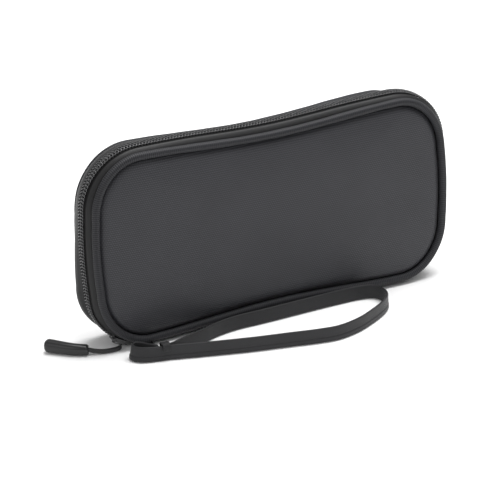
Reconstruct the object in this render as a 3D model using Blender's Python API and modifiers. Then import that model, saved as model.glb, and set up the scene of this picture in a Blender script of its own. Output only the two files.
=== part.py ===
"""Tone probe kit: a zip-around carrying case with a waisted outline, piped edges,
a wrist strap and a zip pull, holding an inductive probe and a tone generator.

Frame: X along the case, front face towards -Y, +Z up, z = 0 on the surface that
the spine of the case stands on, and y = 0 at the middle of its thickness. The
pieces are drawn with y = 0 in the zip's plane, and case_frame carries them all
to the middle of the thickness. Sizes are in millimetres in the constants and
become metres through MM.
"""

import math

import bpy
import bmesh
from mathutils import Matrix, Vector

MM = 0.001

# ---------------------------------------------------------------- driving sizes
CASE_Z = 64.0            # height of the case's mid line above the floor
BACK_RX, BACK_RZ = 33.0, 38.0   # corner radii of the back piping
BACK_DX = -1.8           # the soft back half stands a little to the left
BULGE = 5.0              # how far the side wall bulges at the low left corner
THICK_MID = 4.5          # the case's mid thickness lies this far behind the zip's plane

PIPE_R = 2.5             # radius of the piping cord
FRONT_Y = -9.5           # plane of the front piping
BACK_Y = 19.0            # plane of the back piping

FRONT_HX, FRONT_HZ = 118.0, 59.3     # half sizes to the front piping's centre
BACK_HX, BACK_HZ = 116.0, 57.3       # the back is drafted in by 2 mm
PIPE_RX, PIPE_RZ = 30.4, 35.6        # corner radii of the piping line
WAIST_TOP, WAIST_BOT = 3.9, 3.8      # how far the long edges pull in at mid length
END_BOW = 1.1                        # how far the short ends bow out

ZIP_HX, ZIP_HZ = 123.6, 64.0         # half sizes of the zip's line, proud of the piping
ZIP_R = 37.9                         # its corner radius
ZIP_WAIST = 2.4

PANEL_T = 1.6            # padded panel
PANEL_INSET = 2.85       # panel edge to piping centre
FRONT_CROWN = 3.0
BACK_CROWN = 2.5
CROWN_POWER = 3.2       # higher is flatter in the middle with a rounder rim
LINING_T = 0.6
GAP = 0.3                # clearance between pieces that touch

PARK_A = 30.0            # where the slider parks, degrees round the corner from its foot
CHAIN_END_A = 40.0       # where the two halves' chain stops, same measure
TAIL_A = 15.0            # where the closed tail of the zip stops
SLIDER_HALF_A = 6.6      # half length of the slider, degrees of the corner arc

STRAP_W, STRAP_T = 9.8, 1.6
PULL_CORD_R = 1.45

PROBE_Z = 92.0
PROBE_HW = 19.0          # half width of the probe's body
ITEM_BACK, ITEM_FRONT = 15.2, -7.0   # y of the tools' back and front faces
SPLIT_Y = 4.5            # parting plane of the tools' shells
TONER = (-30.0, 70.0, 15.0, 69.4)    # x and z limits of the tone generator

# ------------------------------------------------------------- scene preparation
for obj in list(bpy.data.objects):
    bpy.data.objects.remove(obj, do_unlink=True)


def collection(name):
    col = bpy.data.collections.new(name)
    bpy.context.scene.collection.children.link(col)
    return col


KIT = collection("tone_probe_kit")
CUTTERS = collection("cutters")


def material(name, colour, roughness, metallic=0.0):
    mat = bpy.data.materials.new(name)
    mat.use_nodes = True
    shader = mat.node_tree.nodes["Principled BSDF"]
    shader.inputs["Base Color"].default_value = (*colour, 1.0)
    shader.inputs["Roughness"].default_value = roughness
    shader.inputs["Metallic"].default_value = metallic
    mat.diffuse_color = (*colour, 1.0)
    return mat


def dress(obj, colour, roughness, metallic=0.0):
    obj.data.materials.append(material("mat_" + obj.name, colour, roughness, metallic))
    return obj


def from_bmesh(name, bm, col=None, smooth=40.0):
    bmesh.ops.recalc_face_normals(bm, faces=bm.faces)
    mesh = bpy.data.meshes.new(name)
    bm.to_mesh(mesh)
    bm.free()
    if smooth:
        mesh.shade_smooth()
        mesh.set_sharp_from_angle(angle=math.radians(smooth))
    obj = bpy.data.objects.new(name, mesh)
    (col or KIT).objects.link(obj)
    return obj


def pivot(name, x, y, z, parent=None):
    empty = bpy.data.objects.new(name, None)
    KIT.objects.link(empty)
    empty.location = (x * MM, y * MM, z * MM)
    if parent is not None:
        empty.parent = parent
        empty.location = Vector((x * MM, y * MM, z * MM)) - world_of(parent)
    return empty


def world_of(empty):
    where = Vector(empty.location)
    up = empty.parent
    while up is not None:
        where = where + Vector(up.location)
        up = up.parent
    return where


def hang(empty, *objects):
    """Put the objects, whose meshes are in world coordinates, under a pivot."""
    for obj in objects:
        obj.parent = empty
        obj.matrix_parent_inverse = Matrix.Translation(world_of(empty)).inverted()


def modify(obj, kind, **settings):
    mod = obj.modifiers.new(kind.lower(), kind)
    for key, value in settings.items():
        setattr(mod, key, value)
    return mod


def boolean(obj, other, how):
    """Cut or join with another object, which becomes a hidden guide."""
    if other.name not in CUTTERS.objects:
        for col in list(other.users_collection):
            col.objects.unlink(other)
        CUTTERS.objects.link(other)
    other.hide_render = True
    other.display_type = "WIRE"
    modify(obj, "BOOLEAN", operation=how, object=other, solver="EXACT")


# ---------------------------------------------------------------- simple shapes
def box(name, lo, hi, bevel=0.0, segments=2, col=None, taper=None):
    bm = bmesh.new()
    bmesh.ops.create_cube(bm, size=1.0)
    size = [(b - a) * MM for a, b in zip(lo, hi)]
    mid = [(a + b) / 2 * MM for a, b in zip(lo, hi)]
    bmesh.ops.scale(bm, vec=size, verts=bm.verts)
    bmesh.ops.translate(bm, vec=mid, verts=bm.verts)
    obj = from_bmesh(name, bm, col)
    if bevel:
        modify(obj, "BEVEL", width=bevel * MM, segments=segments, limit_method="ANGLE")
    return obj


def rod(name, start, end, r1, r2=None, sides=24, bevel=0.0, col=None):
    """A round bar or cone between two points."""
    a, b = Vector(start) * MM, Vector(end) * MM
    bm = bmesh.new()
    bmesh.ops.create_cone(bm, cap_ends=True, segments=sides, radius1=r1 * MM,
                          radius2=(r1 if r2 is None else r2) * MM, depth=(b - a).length)
    turn = (b - a).to_track_quat("Z", "Y").to_matrix().to_4x4()
    bmesh.ops.transform(bm, matrix=Matrix.Translation((a + b) / 2) @ turn, verts=bm.verts)
    obj = from_bmesh(name, bm, col, smooth=35.0)
    if bevel:
        modify(obj, "BEVEL", width=bevel * MM, segments=2, limit_method="ANGLE",
               angle_limit=math.radians(50))
    return obj


def tube(name, points, radius, cyclic=False, resolution=2):
    curve = bpy.data.curves.new(name, "CURVE")
    curve.dimensions = "3D"
    curve.bevel_depth = radius * MM
    curve.bevel_resolution = resolution
    curve.use_fill_caps = not cyclic
    spline = curve.splines.new("POLY")
    spline.points.add(len(points) - 1)
    for knot, p in zip(spline.points, points):
        knot.co = (p[0] * MM, p[1] * MM, p[2] * MM, 1.0)
    spline.use_cyclic_u = cyclic
    obj = bpy.data.objects.new(name, curve)
    KIT.objects.link(obj)
    return obj


def plate(name, outline, y0, y1, bevel=0.0, col=None):
    """A flat outline in X and Z with its thickness from y0 to y1."""
    curve = bpy.data.curves.new(name, "CURVE")
    curve.dimensions = "2D"
    curve.fill_mode = "BOTH"
    curve.extrude = (y1 - y0) / 2 * MM
    spline = curve.splines.new("POLY")
    spline.points.add(len(outline) - 1)
    for knot, (x, z) in zip(spline.points, outline):
        knot.co = (x * MM, z * MM, 0.0, 1.0)
    spline.use_cyclic_u = True
    raw = bpy.data.objects.new(name + "_outline", curve)
    KIT.objects.link(raw)
    raw.matrix_world = (Matrix.Translation((0, (y0 + y1) / 2 * MM, 0))
                        @ Matrix.Rotation(math.radians(90), 4, "X"))
    bpy.context.view_layer.update()
    mesh = bpy.data.meshes.new_from_object(
        raw.evaluated_get(bpy.context.evaluated_depsgraph_get()))
    mesh.transform(raw.matrix_world)
    bpy.data.objects.remove(raw, do_unlink=True)
    bm = bmesh.new()
    bm.from_mesh(mesh)
    bmesh.ops.remove_doubles(bm, verts=bm.verts, dist=1e-6)
    bpy.data.meshes.remove(mesh)
    obj = from_bmesh(name, bm, col)
    if bevel:
        modify(obj, "BEVEL", width=bevel * MM, segments=2, limit_method="ANGLE",
               angle_limit=math.radians(50))
    return obj


# ------------------------------------------------------------ the case's outlines
N_HALF, N_CORNER, N_SIDE = 6, 8, 4
ROUND = 4 * N_HALF + 4 * N_CORNER + 2 * N_SIDE


def spec(hx, top, bottom, rx, rz, waist_top, waist_bot, power, flat=0.0, dx=0.0):
    return dict(hx=hx, top=top, bottom=bottom, rx=rx, rz=rz, wt=waist_top,
                wb=waist_bot, power=power, flat=flat, dx=dx)


FRONT_LINE = spec(FRONT_HX, FRONT_HZ, FRONT_HZ, PIPE_RX, PIPE_RZ, WAIST_TOP, WAIST_BOT, 0.875)
BACK_LINE = spec(BACK_HX, BACK_HZ, FRONT_HZ, BACK_RX, BACK_RZ, WAIST_TOP, WAIST_BOT, 0.875, dx=BACK_DX)
ZIP_LINE = spec(ZIP_HX, ZIP_HZ, ZIP_HZ, ZIP_R, ZIP_R, ZIP_WAIST, ZIP_WAIST, 1.4, 13.0)


def edge_point(line, u):
    """Point (x, z) at station u, which runs from the middle of the bottom edge to
    the left, up, across the top to the right, down and back."""
    u = u % ROUND
    xe = line["hx"] - line["rx"]

    def waist(x, depth, flat):
        t = min(1.0, abs(x) / (xe - flat))
        return depth * (0.5 * (1 + math.cos(math.pi * t))) ** line["power"]

    mirror = 1.0
    if u > ROUND / 2:
        u = ROUND - u
        mirror = -1.0
    z_low = -(line["bottom"] - line["rz"])
    z_high = line["top"] - line["rz"]
    if u <= N_HALF:
        x = -xe * u / N_HALF
        z = -line["bottom"] + waist(x, line["wb"], line["flat"])
    elif u <= N_HALF + N_CORNER:
        a = math.radians(90) * (u - N_HALF) / N_CORNER
        x = -xe - line["rx"] * math.sin(a)
        z = z_low - line["rz"] * math.cos(a)
    elif u <= N_HALF + N_CORNER + N_SIDE:
        t = (u - N_HALF - N_CORNER) / N_SIDE
        x = -line["hx"] - END_BOW * (1 - (2 * t - 1) ** 2)
        z = z_low + (z_high - z_low) * t
    elif u <= N_HALF + 2 * N_CORNER + N_SIDE:
        a = math.radians(90) * (u - N_HALF - N_CORNER - N_SIDE) / N_CORNER
        x = -xe - line["rx"] * math.cos(a)
        z = z_high + line["rz"] * math.sin(a)
    else:
        x = -xe * (1 - (u - N_HALF - 2 * N_CORNER - N_SIDE) / N_HALF)
        z = line["top"] - waist(x, line["wt"], 0.0)
    return mirror * x + line["dx"], CASE_Z + z


def edge_normal(line, u):
    """Outward direction in X and Z at station u."""
    h = 0.05
    x0, z0 = edge_point(line, u - h)
    x1, z1 = edge_point(line, u + h)
    dx, dz = x1 - x0, z1 - z0
    size = math.hypot(dx, dz)
    return -dz / size, dx / size


# the stations run clockwise seen from the front, so (-dz, dx) points outward
def on_skin(u, y, m, n):
    """A point of the gusset: m = 1 on the zip's line, 0 on the piping's, n outward."""
    zx, zz = edge_point(ZIP_LINE, u)
    px, pz = edge_point(FRONT_LINE if y < 0 else BACK_LINE, u)
    nx, nz = edge_normal(ZIP_LINE, u)
    return Vector((px + (zx - px) * m + nx * n, y, pz + (zz - pz) * m + nz * n)) * MM


def corner_u(angle):
    """Station at an angle round the bottom left corner, counted from its foot."""
    return N_HALF + N_CORNER * angle / 90.0


def stations(u0, u1, step=1.0):
    """Whole stations between two ends, with the ends themselves."""
    inner = []
    k = math.floor(u0 / step) + 1
    while k * step < u1 - 0.25 * step:
        if k * step > u0 + 0.25 * step:
            inner.append(k * step)
        k += 1
    return [u0] + inner + [u1]


def loft(name, loops, closed=False, col=None, smooth=40.0):
    """Skin a run of matching closed sections, with end caps unless it closes."""
    bm = bmesh.new()
    rings = [[bm.verts.new(p) for p in loop] for loop in loops]
    count = len(rings[0])
    spans = list(zip(rings, rings[1:]))
    if closed:
        spans.append((rings[-1], rings[0]))
    for a, b in spans:
        for i in range(count):
            j = (i + 1) % count
            bm.faces.new((a[i], a[j], b[j], b[i]))
    if not closed:
        bm.faces.new(rings[0])
        bm.faces.new(rings[-1])
    return from_bmesh(name, bm, col, smooth)


def band(name, us, profile, col=None):
    return loft(name, [[on_skin(u, *p) for p in profile] for u in us], col=col)


# -------------------------------------------------------------------- the panels
def panel(name, line, inset, y_rim, crown, thickness, step=1.0, rings=(1.0, 0.88, 0.68, 0.38)):
    """A crowned panel inside the piping, open surface with its thickness behind."""
    toward = 1.0 if crown > 0 else -1.0
    bm = bmesh.new()
    us = [k * step for k in range(int(ROUND / step))]
    rows = []
    for k in rings:
        row = []
        for u in us:
            x, z = edge_point(line, u)
            nx, nz = edge_normal(line, u)
            x, z = (x - nx * inset) * k, CASE_Z + (z - nz * inset - CASE_Z) * k
            row.append(bm.verts.new(Vector((x, y_rim + crown * (1 - k ** CROWN_POWER), z)) * MM))
        rows.append(row)
    for a, b in zip(rows, rows[1:]):
        for i in range(len(us)):
            j = (i + 1) % len(us)
            bm.faces.new((a[i], a[j], b[j], b[i]))
    centre = bm.verts.new(Vector((0.0, y_rim + crown, CASE_Z)) * MM)
    last = rows[-1]
    for i in range(len(us)):
        bm.faces.new((last[i], last[(i + 1) % len(us)], centre))
    for face in bm.faces:
        face.normal_update()
    wrong = sum(1 if face.normal.y * toward < 0 else -1 for face in bm.faces)
    if wrong > 0:
        bmesh.ops.reverse_faces(bm, faces=bm.faces)
    mesh = bpy.data.meshes.new(name)
    bm.to_mesh(mesh)
    bm.free()
    mesh.shade_smooth()
    obj = bpy.data.objects.new(name, mesh)
    KIT.objects.link(obj)
    modify(obj, "SOLIDIFY", thickness=thickness * MM, offset=-1.0, use_even_offset=True)
    return obj


FABRIC = (0.028, 0.029, 0.033)
TRIM = (0.045, 0.045, 0.048)
SMOOTH = (0.022, 0.022, 0.024)

front_panel = dress(panel("front_panel", FRONT_LINE, PANEL_INSET, FRONT_Y - 1.0,
                          -FRONT_CROWN, PANEL_T), FABRIC, 0.8)
back_panel = dress(panel("back_panel", BACK_LINE, PANEL_INSET, BACK_Y + 1.0,
                         BACK_CROWN, PANEL_T), FABRIC, 0.8)
front_lining = dress(panel("front_lining", FRONT_LINE, PANEL_INSET + 1.2,
                           FRONT_Y - 1.0 + PANEL_T + GAP, -FRONT_CROWN, LINING_T,
                           step=2.0, rings=(1.0, 0.82, 0.5)), SMOOTH, 0.7)
back_lining = dress(panel("back_lining", BACK_LINE, PANEL_INSET + 1.2,
                          BACK_Y + 1.0 - PANEL_T - GAP, BACK_CROWN, LINING_T,
                          step=2.0, rings=(1.0, 0.82, 0.5)), SMOOTH, 0.7)


def piping(name, line, y):
    return tube(name, [(x, y, z) for x, z in (edge_point(line, u) for u in range(ROUND))],
                PIPE_R, cyclic=True)


front_piping = dress(piping("front_piping", FRONT_LINE, FRONT_Y), TRIM, 0.7)
back_piping = dress(piping("back_piping", BACK_LINE, BACK_Y), TRIM, 0.7)

# ---------------------------------------------------------- gusset, tape and coil
CHAIN_U0 = corner_u(CHAIN_END_A)
CHAIN_U1 = ROUND - CHAIN_U0
chain = stations(CHAIN_U0, CHAIN_U1)

GUSSET_FRONT = [(-5.1, 0.82, 0.0), (-6.0, 0.69, 0.0), (-6.9, 0.48, 0.0),
                (-6.9, 0.48, -1.1), (-6.0, 0.69, -1.1), (-5.1, 0.82, -1.1)]
GUSSET_BACK = [(5.1, 0.89, 0.0), (8.0, 0.77, 0.0), (12.0, 0.54, 0.0), (16.35, 0.25, 0.0),
               (16.35, 0.25, -1.1), (12.0, 0.54, -1.1), (8.0, 0.77, -1.1), (5.1, 0.89, -1.1)]


def bulge(u):
    """How far the back half's side wall stands out at station u."""
    low_left = math.exp(-((u - corner_u(74.0)) / 3.6) ** 2)
    side = math.exp(-((u - (N_HALF + N_CORNER + N_SIDE + 3.0)) / 6.0) ** 2)
    return BULGE * low_left + 1.2 * side


def back_wall(u):
    """Section of the back half's side wall, fullest between the zip and the piping."""
    fill = {8.0: 0.55, 12.0: 1.0, 16.35: 0.55}
    return [on_skin(u, y, m, n + bulge(u) * fill.get(y, 0.0)) for y, m, n in GUSSET_BACK]


front_gusset = dress(band("front_gusset", chain, GUSSET_FRONT), SMOOTH, 0.75)
back_gusset = dress(loft("back_gusset", [back_wall(u) for u in chain]), SMOOTH, 0.75)


def tape_profile(side):
    return [(side * 0.9, 1.0, -0.9), (side * 4.8, 1.0, -1.75),
            (side * 4.8, 1.0, -2.4), (side * 0.9, 1.0, -1.5)]


def coil_profile(side):
    return [(side * 0.6, 1.0, 0.9), (side * 2.7, 1.0, 0.75), (side * 3.1, 1.0, 0.1),
            (side * 3.1, 1.0, -0.95), (side * 0.6, 1.0, -0.5)]


zipper_tape_front = dress(band("zipper_tape_front", chain, tape_profile(-1)), SMOOTH, 0.8)
zipper_tape_back = dress(band("zipper_tape_back", chain, tape_profile(1)), SMOOTH, 0.8)
zipper_coil_front = dress(band("zipper_coil_front", chain, coil_profile(-1)), SMOOTH, 0.45)
zipper_coil_back = dress(band("zipper_coil_back", chain, coil_profile(1)), SMOOTH, 0.45)

# ------------------------------------------------- the spine and the zip's two tails
SPINE_U = CHAIN_U0 - 0.05


def spine_row(u):
    """Section of the spine: its trough under the zip's tail is sunk at the corners."""
    away = abs(((u + ROUND / 2) % ROUND) - ROUND / 2)
    rise = max(0.0, min(1.0, (away - corner_u(2.0)) / (corner_u(13.0) - corner_u(2.0))))
    outer = [(-6.9, 0.48, 0.0), (-5.1, 0.84, -0.2 * rise), (-4.7, 0.88, -1.1 * rise),
             (-3.4, 1.0, -4.4 * rise), (4.6, 1.0, -4.4 * rise), (5.6, 1.0, -0.9 * rise),
             (12.5, 1.0 - 0.42 * rise, 0.0), (14.6, 0.7 - 0.28 * rise, 0.0), (16.35, 0.34 - 0.08 * rise, 0.0)]
    inner = [(y, m, n - 1.2) for y, m, n in reversed(outer)]
    return [on_skin(u % ROUND, *p) for p in outer + inner]


spine_us = [-SPINE_U] + [-k for k in (8.5, 8.0, 7.5, 7.0, 6.5, 6, 5, 4, 3, 2, 1)] \
    + [0, 1, 2, 3, 4, 5, 6, 6.5, 7.0, 7.5, 8.0, 8.5] + [SPINE_U]
spine_gusset = dress(loft("spine_gusset", [spine_row(u) for u in spine_us]), SMOOTH, 0.75)


def zip_tail(name, u_chain, u_stop, u_tail):
    """The last stretch of chain, whose two rows are joined by the end stop."""
    row = [(0.6, 1.0, 0.9), (2.7, 1.0, 0.75), (3.1, 1.0, 0.1), (3.1, 1.0, -0.95),
           (3.9, 1.0, -1.4), (3.9, 1.0, -2.0), (0.9, 1.0, -1.5), (0.6, 1.0, -1.3)]
    span = [u_chain + (u_stop - u_chain) * k / 4 for k in range(5)]
    span[-1] = u_stop + (u_tail - u_stop) * 0.3
    front = band(name, span, [(-y, m, n) for y, m, n in row])
    back = band(name + "_back_row", span, row)
    stop = band(name + "_stop", [u_stop, (u_stop + u_tail) / 2, u_tail],
                [(-3.4, 1.0, 0.95), (3.4, 1.0, 0.95), (3.4, 1.0, -2.1), (-3.4, 1.0, -2.1)])
    boolean(front, stop, "UNION")
    boolean(front, back, "UNION")
    return front


TAIL_U, STOP_U = corner_u(TAIL_A), corner_u(PARK_A - SLIDER_HALF_A - 0.8)
zipper_end_left = dress(zip_tail("zipper_end_left", CHAIN_U0 - 0.05, STOP_U, TAIL_U), SMOOTH, 0.5)
zipper_end_right = dress(zip_tail("zipper_end_right", ROUND - CHAIN_U0 + 0.05, ROUND - STOP_U,
                                  ROUND - TAIL_U), SMOOTH, 0.5)

# --------------------------------------------------------------------- the slider
ARC_X = -(ZIP_HX - ZIP_R)
ARC_Z = CASE_Z - (ZIP_HZ - ZIP_R)


def arc_band(name, a0, a1, profile, steps=6):
    us = [corner_u(a0 + (a1 - a0) * k / steps) for k in range(steps + 1)]
    return band(name, us, [(y, 1.0, n) for y, n in profile])


LO, HI = PARK_A - SLIDER_HALF_A, PARK_A + SLIDER_HALF_A
slider_body = dress(arc_band("slider_body", LO, HI, [
    (-4.25, -0.35), (-4.25, 1.7), (-3.3, 2.4), (3.3, 2.4), (4.25, 1.7), (4.25, -0.35),
    (3.55, -0.35), (3.55, 1.35), (-3.55, 1.35), (-3.55, -0.35)]), (0.03, 0.03, 0.032), 0.35, 0.8)
slider_neck = arc_band("slider_neck", LO + 0.4, LO + 3.4,
                       [(-0.28, -3.0), (0.28, -3.0), (0.28, 1.8), (-0.28, 1.8)], 2)
slider_inner = arc_band("slider_inner", LO + 0.2, HI - 0.4,
                        [(-3.6, -3.6), (3.6, -3.6), (3.6, -2.75), (-3.6, -2.75)], 3)
boolean(slider_body, slider_neck, "UNION")
boolean(slider_body, slider_inner, "UNION")


def arc_point(angle, n):
    """(x, z) at an angle round the bottom left corner, n outward of the zip's line."""
    a = math.radians(angle)
    return ARC_X - (ZIP_R + n) * math.sin(a), ARC_Z - (ZIP_R + n) * math.cos(a)


bridge_arch = arc_band("bridge_arch", PARK_A - 4.4, PARK_A + 4.4,
                       [(-1.0, 2.1), (1.0, 2.1), (1.0, 3.4), (0.6, 3.85), (-0.6, 3.85), (-1.0, 3.4)], 6)
boolean(slider_body, bridge_arch, "UNION")
bridge_hole = arc_band("bridge_hole", PARK_A - 3.0, PARK_A + 3.0,
                       [(-2.0, 2.55), (2.0, 2.55), (2.0, 3.3), (-2.0, 3.3)], 4)
boolean(slider_body, bridge_hole, "DIFFERENCE")

# ---------------------------------------------------------------- pull and strap


def smooth_run(points, per_span=6):
    """Catmull-Rom run through the given points."""
    pts = [Vector(p) for p in points]
    pts = [pts[0] * 2 - pts[1]] + pts + [pts[-1] * 2 - pts[-2]]
    out = []
    for i in range(1, len(pts) - 2):
        a, b, c, d = pts[i - 1:i + 3]
        for k in range(per_span):
            t = k / per_span
            out.append(0.5 * ((2 * b) + (c - a) * t + (2 * a - 5 * b + 4 * c - d) * t * t
                              + (3 * b - a - 3 * c + d) * t ** 3))
    out.append(pts[-2])
    return out


PULL_ROUTE = [(-105.9, -4.8, 1.65), (-107.7, -6.4, 1.6), (-112.0, -7.0, 1.7),
              (-118.0, -6.2, 1.9), (-122.6, -4.6, 2.6), (-126.0, -3.2, 3.3)]
pull_cord = dress(tube("pull_cord", smooth_run(PULL_ROUTE, 3), PULL_CORD_R, resolution=2), SMOOTH, 0.6)

GRIP_ROUTE = [(-126.3, -3.1, 3.7), (-131.0, -0.4, 3.9), (-136.0, 3.6, 4.1),
              (-140.2, 8.0, 4.3), (-144.0, 12.2, 4.45), (-147.2, 15.6, 4.5)]


def grip_sections():
    run = smooth_run(GRIP_ROUTE, 2)
    loops = []
    for i, p in enumerate(run):
        ahead = run[min(i + 1, len(run) - 1)] - run[max(i - 1, 0)]
        ahead.normalize()
        side = Vector((-ahead.y, ahead.x, 0)).normalized()
        s = i / (len(run) - 1)
        half_w = 3.1 + 1.0 * s
        half_h = 3.3 + 0.8 * s
        if i == len(run) - 1:
            half_w, half_h = half_w * 0.62, half_h * 0.62
        loop = []
        for k in range(12):
            a = 2 * math.pi * k / 12
            c, w = math.cos(a), math.sin(a)
            c = math.copysign(abs(c) ** 0.75, c)
            w = math.copysign(abs(w) ** 0.75, w)
            loop.append((p + side * (c * half_w) + Vector((0, 0, w * half_h))) * MM)
        loops.append(loop)
    return loops


pull_grip = dress(loft("pull_grip", grip_sections()), (0.035, 0.035, 0.037), 0.55)

STRAP_ROUTE = [(-90.3, -32.0), (-86.4, -32.8), (-82.0, -31.9), (-77.9, -30.4), (-68.2, -27.2),
               (-58.0, -24.0), (-50.0, -21.1), (-42.3, -18.9), (-31.0, -17.4), (-15.0, -17.6),
               (12.0, -17.0), (34.0, -16.6), (52.0, -17.2), (61.0, -20.4), (64.2, -27.5),
               (62.6, -36.4), (55.6, -44.4), (44.0, -52.2), (30.0, -59.4), (14.4, -63.2),
               (0.0, -61.2), (-16.0, -57.0), (-40.6, -50.6), (-69.6, -41.3), (-86.7, -35.3),
               (-92.2, -33.9), (-98.4, -32.2), (-103.6, -29.4), (-106.2, -25.2), (-105.6, -21.2),
               (-102.4, -19.8), (-99.2, -22.2), (-96.4, -26.2), (-94.0, -29.4), (-92.0, -31.4)]


def strap_sections():
    """A flat strap standing on its edge: a large loop, pinched, and a small end loop."""
    run = smooth_run([(x, y, 0.0) for x, y in STRAP_ROUTE], 3)
    length = [0.0]
    for a, b in zip(run, run[1:]):
        length.append(length[-1] + (b - a).length)
    total = length[-1]
    loops = []
    for i, p in enumerate(run):
        ahead = (run[min(i + 1, len(run) - 1)] - run[max(i - 1, 0)]).normalized()
        side = Vector((-ahead.y, ahead.x, 0.0))
        rest = total - length[i]
        lean = math.exp(-((rest - 24.0) / 9.0) ** 2)     # the small end loop leans inward
        stand = 1.0 - 0.14 * lean
        low = 0.35
        angle = math.radians(90) * stand
        wide = side * math.cos(angle) - Vector((0, 0, 1)) * math.sin(angle)
        thick = side * math.sin(angle) + Vector((0, 0, 1)) * math.cos(angle)
        half_w, half_t = STRAP_W / 2, STRAP_T / 2
        lift = low + half_w * math.sin(angle) + half_t * math.cos(angle)
        mid = Vector((p.x, p.y, lift))
        loops.append([(mid + wide * a + thick * b) * MM for a, b in (
            (-half_w, -half_t), (half_w, -half_t), (half_w, half_t), (-half_w, half_t))])
    return loops


wrist_strap = dress(loft("wrist_strap", strap_sections()), TRIM, 0.75)
strap_anchor_tab = dress(box("strap_anchor_tab", (-91.0, -30.9, 0.3), (-86.0, -7.3, 1.2), 0.2),
                         SMOOTH, 0.8)

# ------------------------------------------------------------------- mesh pocket


def pocket():
    """A bulged mesh pocket sewn to the front lining on three sides, open at the top."""
    x0, x1, z0, z1 = -97.0, -38.0, 24.0, 62.0
    cols, rows = 10, 6
    bm = bmesh.new()
    grid = []
    for j in range(rows + 1):
        v = j / rows
        line = []
        for i in range(cols + 1):
            w = i / cols
            edge = min(1.0, w * cols / 1.0, (1 - w) * cols / 1.0, 1.0)
            rise = min(1.0, v * rows)
            depth = 6.2 * min(edge, rise)
            line.append(bm.verts.new(Vector((x0 + (x1 - x0) * w, -7.9 + 1.6 + depth - 0.9,
                                             z0 + (z1 - z0) * v)) * MM))
        grid.append(line)
    for a, b in zip(grid, grid[1:]):
        for i in range(cols):
            bm.faces.new((a[i], a[i + 1], b[i + 1], b[i]))
    mesh = bpy.data.meshes.new("mesh_pocket")
    for face in bm.faces:
        face.normal_update()
    bm.to_mesh(mesh)
    bm.free()
    obj = bpy.data.objects.new("mesh_pocket", mesh)
    KIT.objects.link(obj)
    modify(obj, "SOLIDIFY", thickness=0.6 * MM, offset=0.0)
    return obj


mesh_pocket = dress(pocket(), (0.03, 0.03, 0.03), 0.8)
pocket_binding = dress(tube("pocket_binding", [
    (-97.0, -7.0, 63.6), (-91.1, -1.0, 63.6), (-80.0, -1.0, 63.6), (-55.0, -1.0, 63.6),
    (-43.9, -1.0, 63.6), (-38.0, -7.0, 63.6)], 1.1, resolution=1), SMOOTH, 0.7)

# ------------------------------------------------------------------ tool shells


def half_shell(name, outline, y_split, y_face, wall, round_r):
    """Half of a hand tool's housing: a tray open at the parting plane."""
    toward = 1.0 if y_face > y_split else -1.0
    cx = sum(p[0] for p in outline) / len(outline)
    cz = sum(p[1] for p in outline) / len(outline)
    bm = bmesh.new()

    def row(y, inset):
        ring = []
        count = len(outline)
        for i, (x, z) in enumerate(outline):
            ax, az = outline[i - 1]
            bx, bz = outline[(i + 1) % count]
            dx, dz = bx - ax, bz - az
            size = math.hypot(dx, dz)
            nx, nz = dz / size, -dx / size
            if nx * (x - cx) + nz * (z - cz) < 0:
                nx, nz = -nx, -nz
            ring.append(bm.verts.new(Vector((x - nx * inset, y, z - nz * inset)) * MM))
        return ring

    rows = [row(y_split, 0.0), row(y_face - toward * round_r, 0.0),
            row(y_face - toward * round_r * 0.3, round_r * 0.3), row(y_face, round_r)]
    for a, b in zip(rows, rows[1:]):
        for i in range(len(a)):
            j = (i + 1) % len(a)
            bm.faces.new((a[i], a[j], b[j], b[i]))
    cap = bm.faces.new(rows[-1])
    cap.normal_update()
    bmesh.ops.recalc_face_normals(bm, faces=bm.faces)
    cap.normal_update()
    if cap.normal.y * toward < 0:
        bmesh.ops.reverse_faces(bm, faces=bm.faces)
    mesh = bpy.data.meshes.new(name)
    bm.to_mesh(mesh)
    bm.free()
    mesh.shade_smooth()
    mesh.set_sharp_from_angle(angle=math.radians(50))
    obj = bpy.data.objects.new(name, mesh)
    KIT.objects.link(obj)
    modify(obj, "SOLIDIFY", thickness=wall * MM, offset=-1.0, use_even_offset=True)
    return obj


def arc2(cx, cz, r, a0, a1, steps):
    return [(cx + r * math.cos(math.radians(a0 + (a1 - a0) * k / steps)),
             cz + r * math.sin(math.radians(a0 + (a1 - a0) * k / steps))) for k in range(steps + 1)]


def probe_outline():
    w = PROBE_HW
    top = [(-86.0, 7.0), (-78.0, 9.0), (-66.0, 13.5), (-54.0, 17.4), (-42.0, w), (0.0, w), (60.0, w)]
    top += arc2(94.0, w - 10.0, 10.0, 90, 0, 3)
    pts = [(x, PROBE_Z + z) for x, z in top]
    pts += [(x, PROBE_Z - z) for x, z in reversed(top)]
    return pts


def rounded(x0, x1, z0, z1, r, steps=3):
    return (arc2(x1 - r, z1 - r, r, 90, 0, steps) + arc2(x1 - r, z0 + r, r, 0, -90, steps)
            + arc2(x0 + r, z0 + r, r, 270, 180, steps) + arc2(x0 + r, z1 - r, r, 180, 90, steps))


PROBE_COLOUR = (0.62, 0.30, 0.02)
TONER_COLOUR = (0.62, 0.30, 0.02)
probe_shell_front = dress(half_shell("probe_shell_front", probe_outline(), SPLIT_Y - 0.15,
                                     ITEM_FRONT, 1.8, 3.0), PROBE_COLOUR, 0.5)
probe_shell_back = dress(half_shell("probe_shell_back", probe_outline(), SPLIT_Y + 0.15,
                                    ITEM_BACK, 1.8, 3.0), (0.03, 0.03, 0.03), 0.55)
probe_tip = dress(rod("probe_tip", (-108.0, SPLIT_Y, PROBE_Z), (-86.35, SPLIT_Y, PROBE_Z), 2.4, 5.6,
                      20, 0.6), (0.02, 0.02, 0.02), 0.4)

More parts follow.
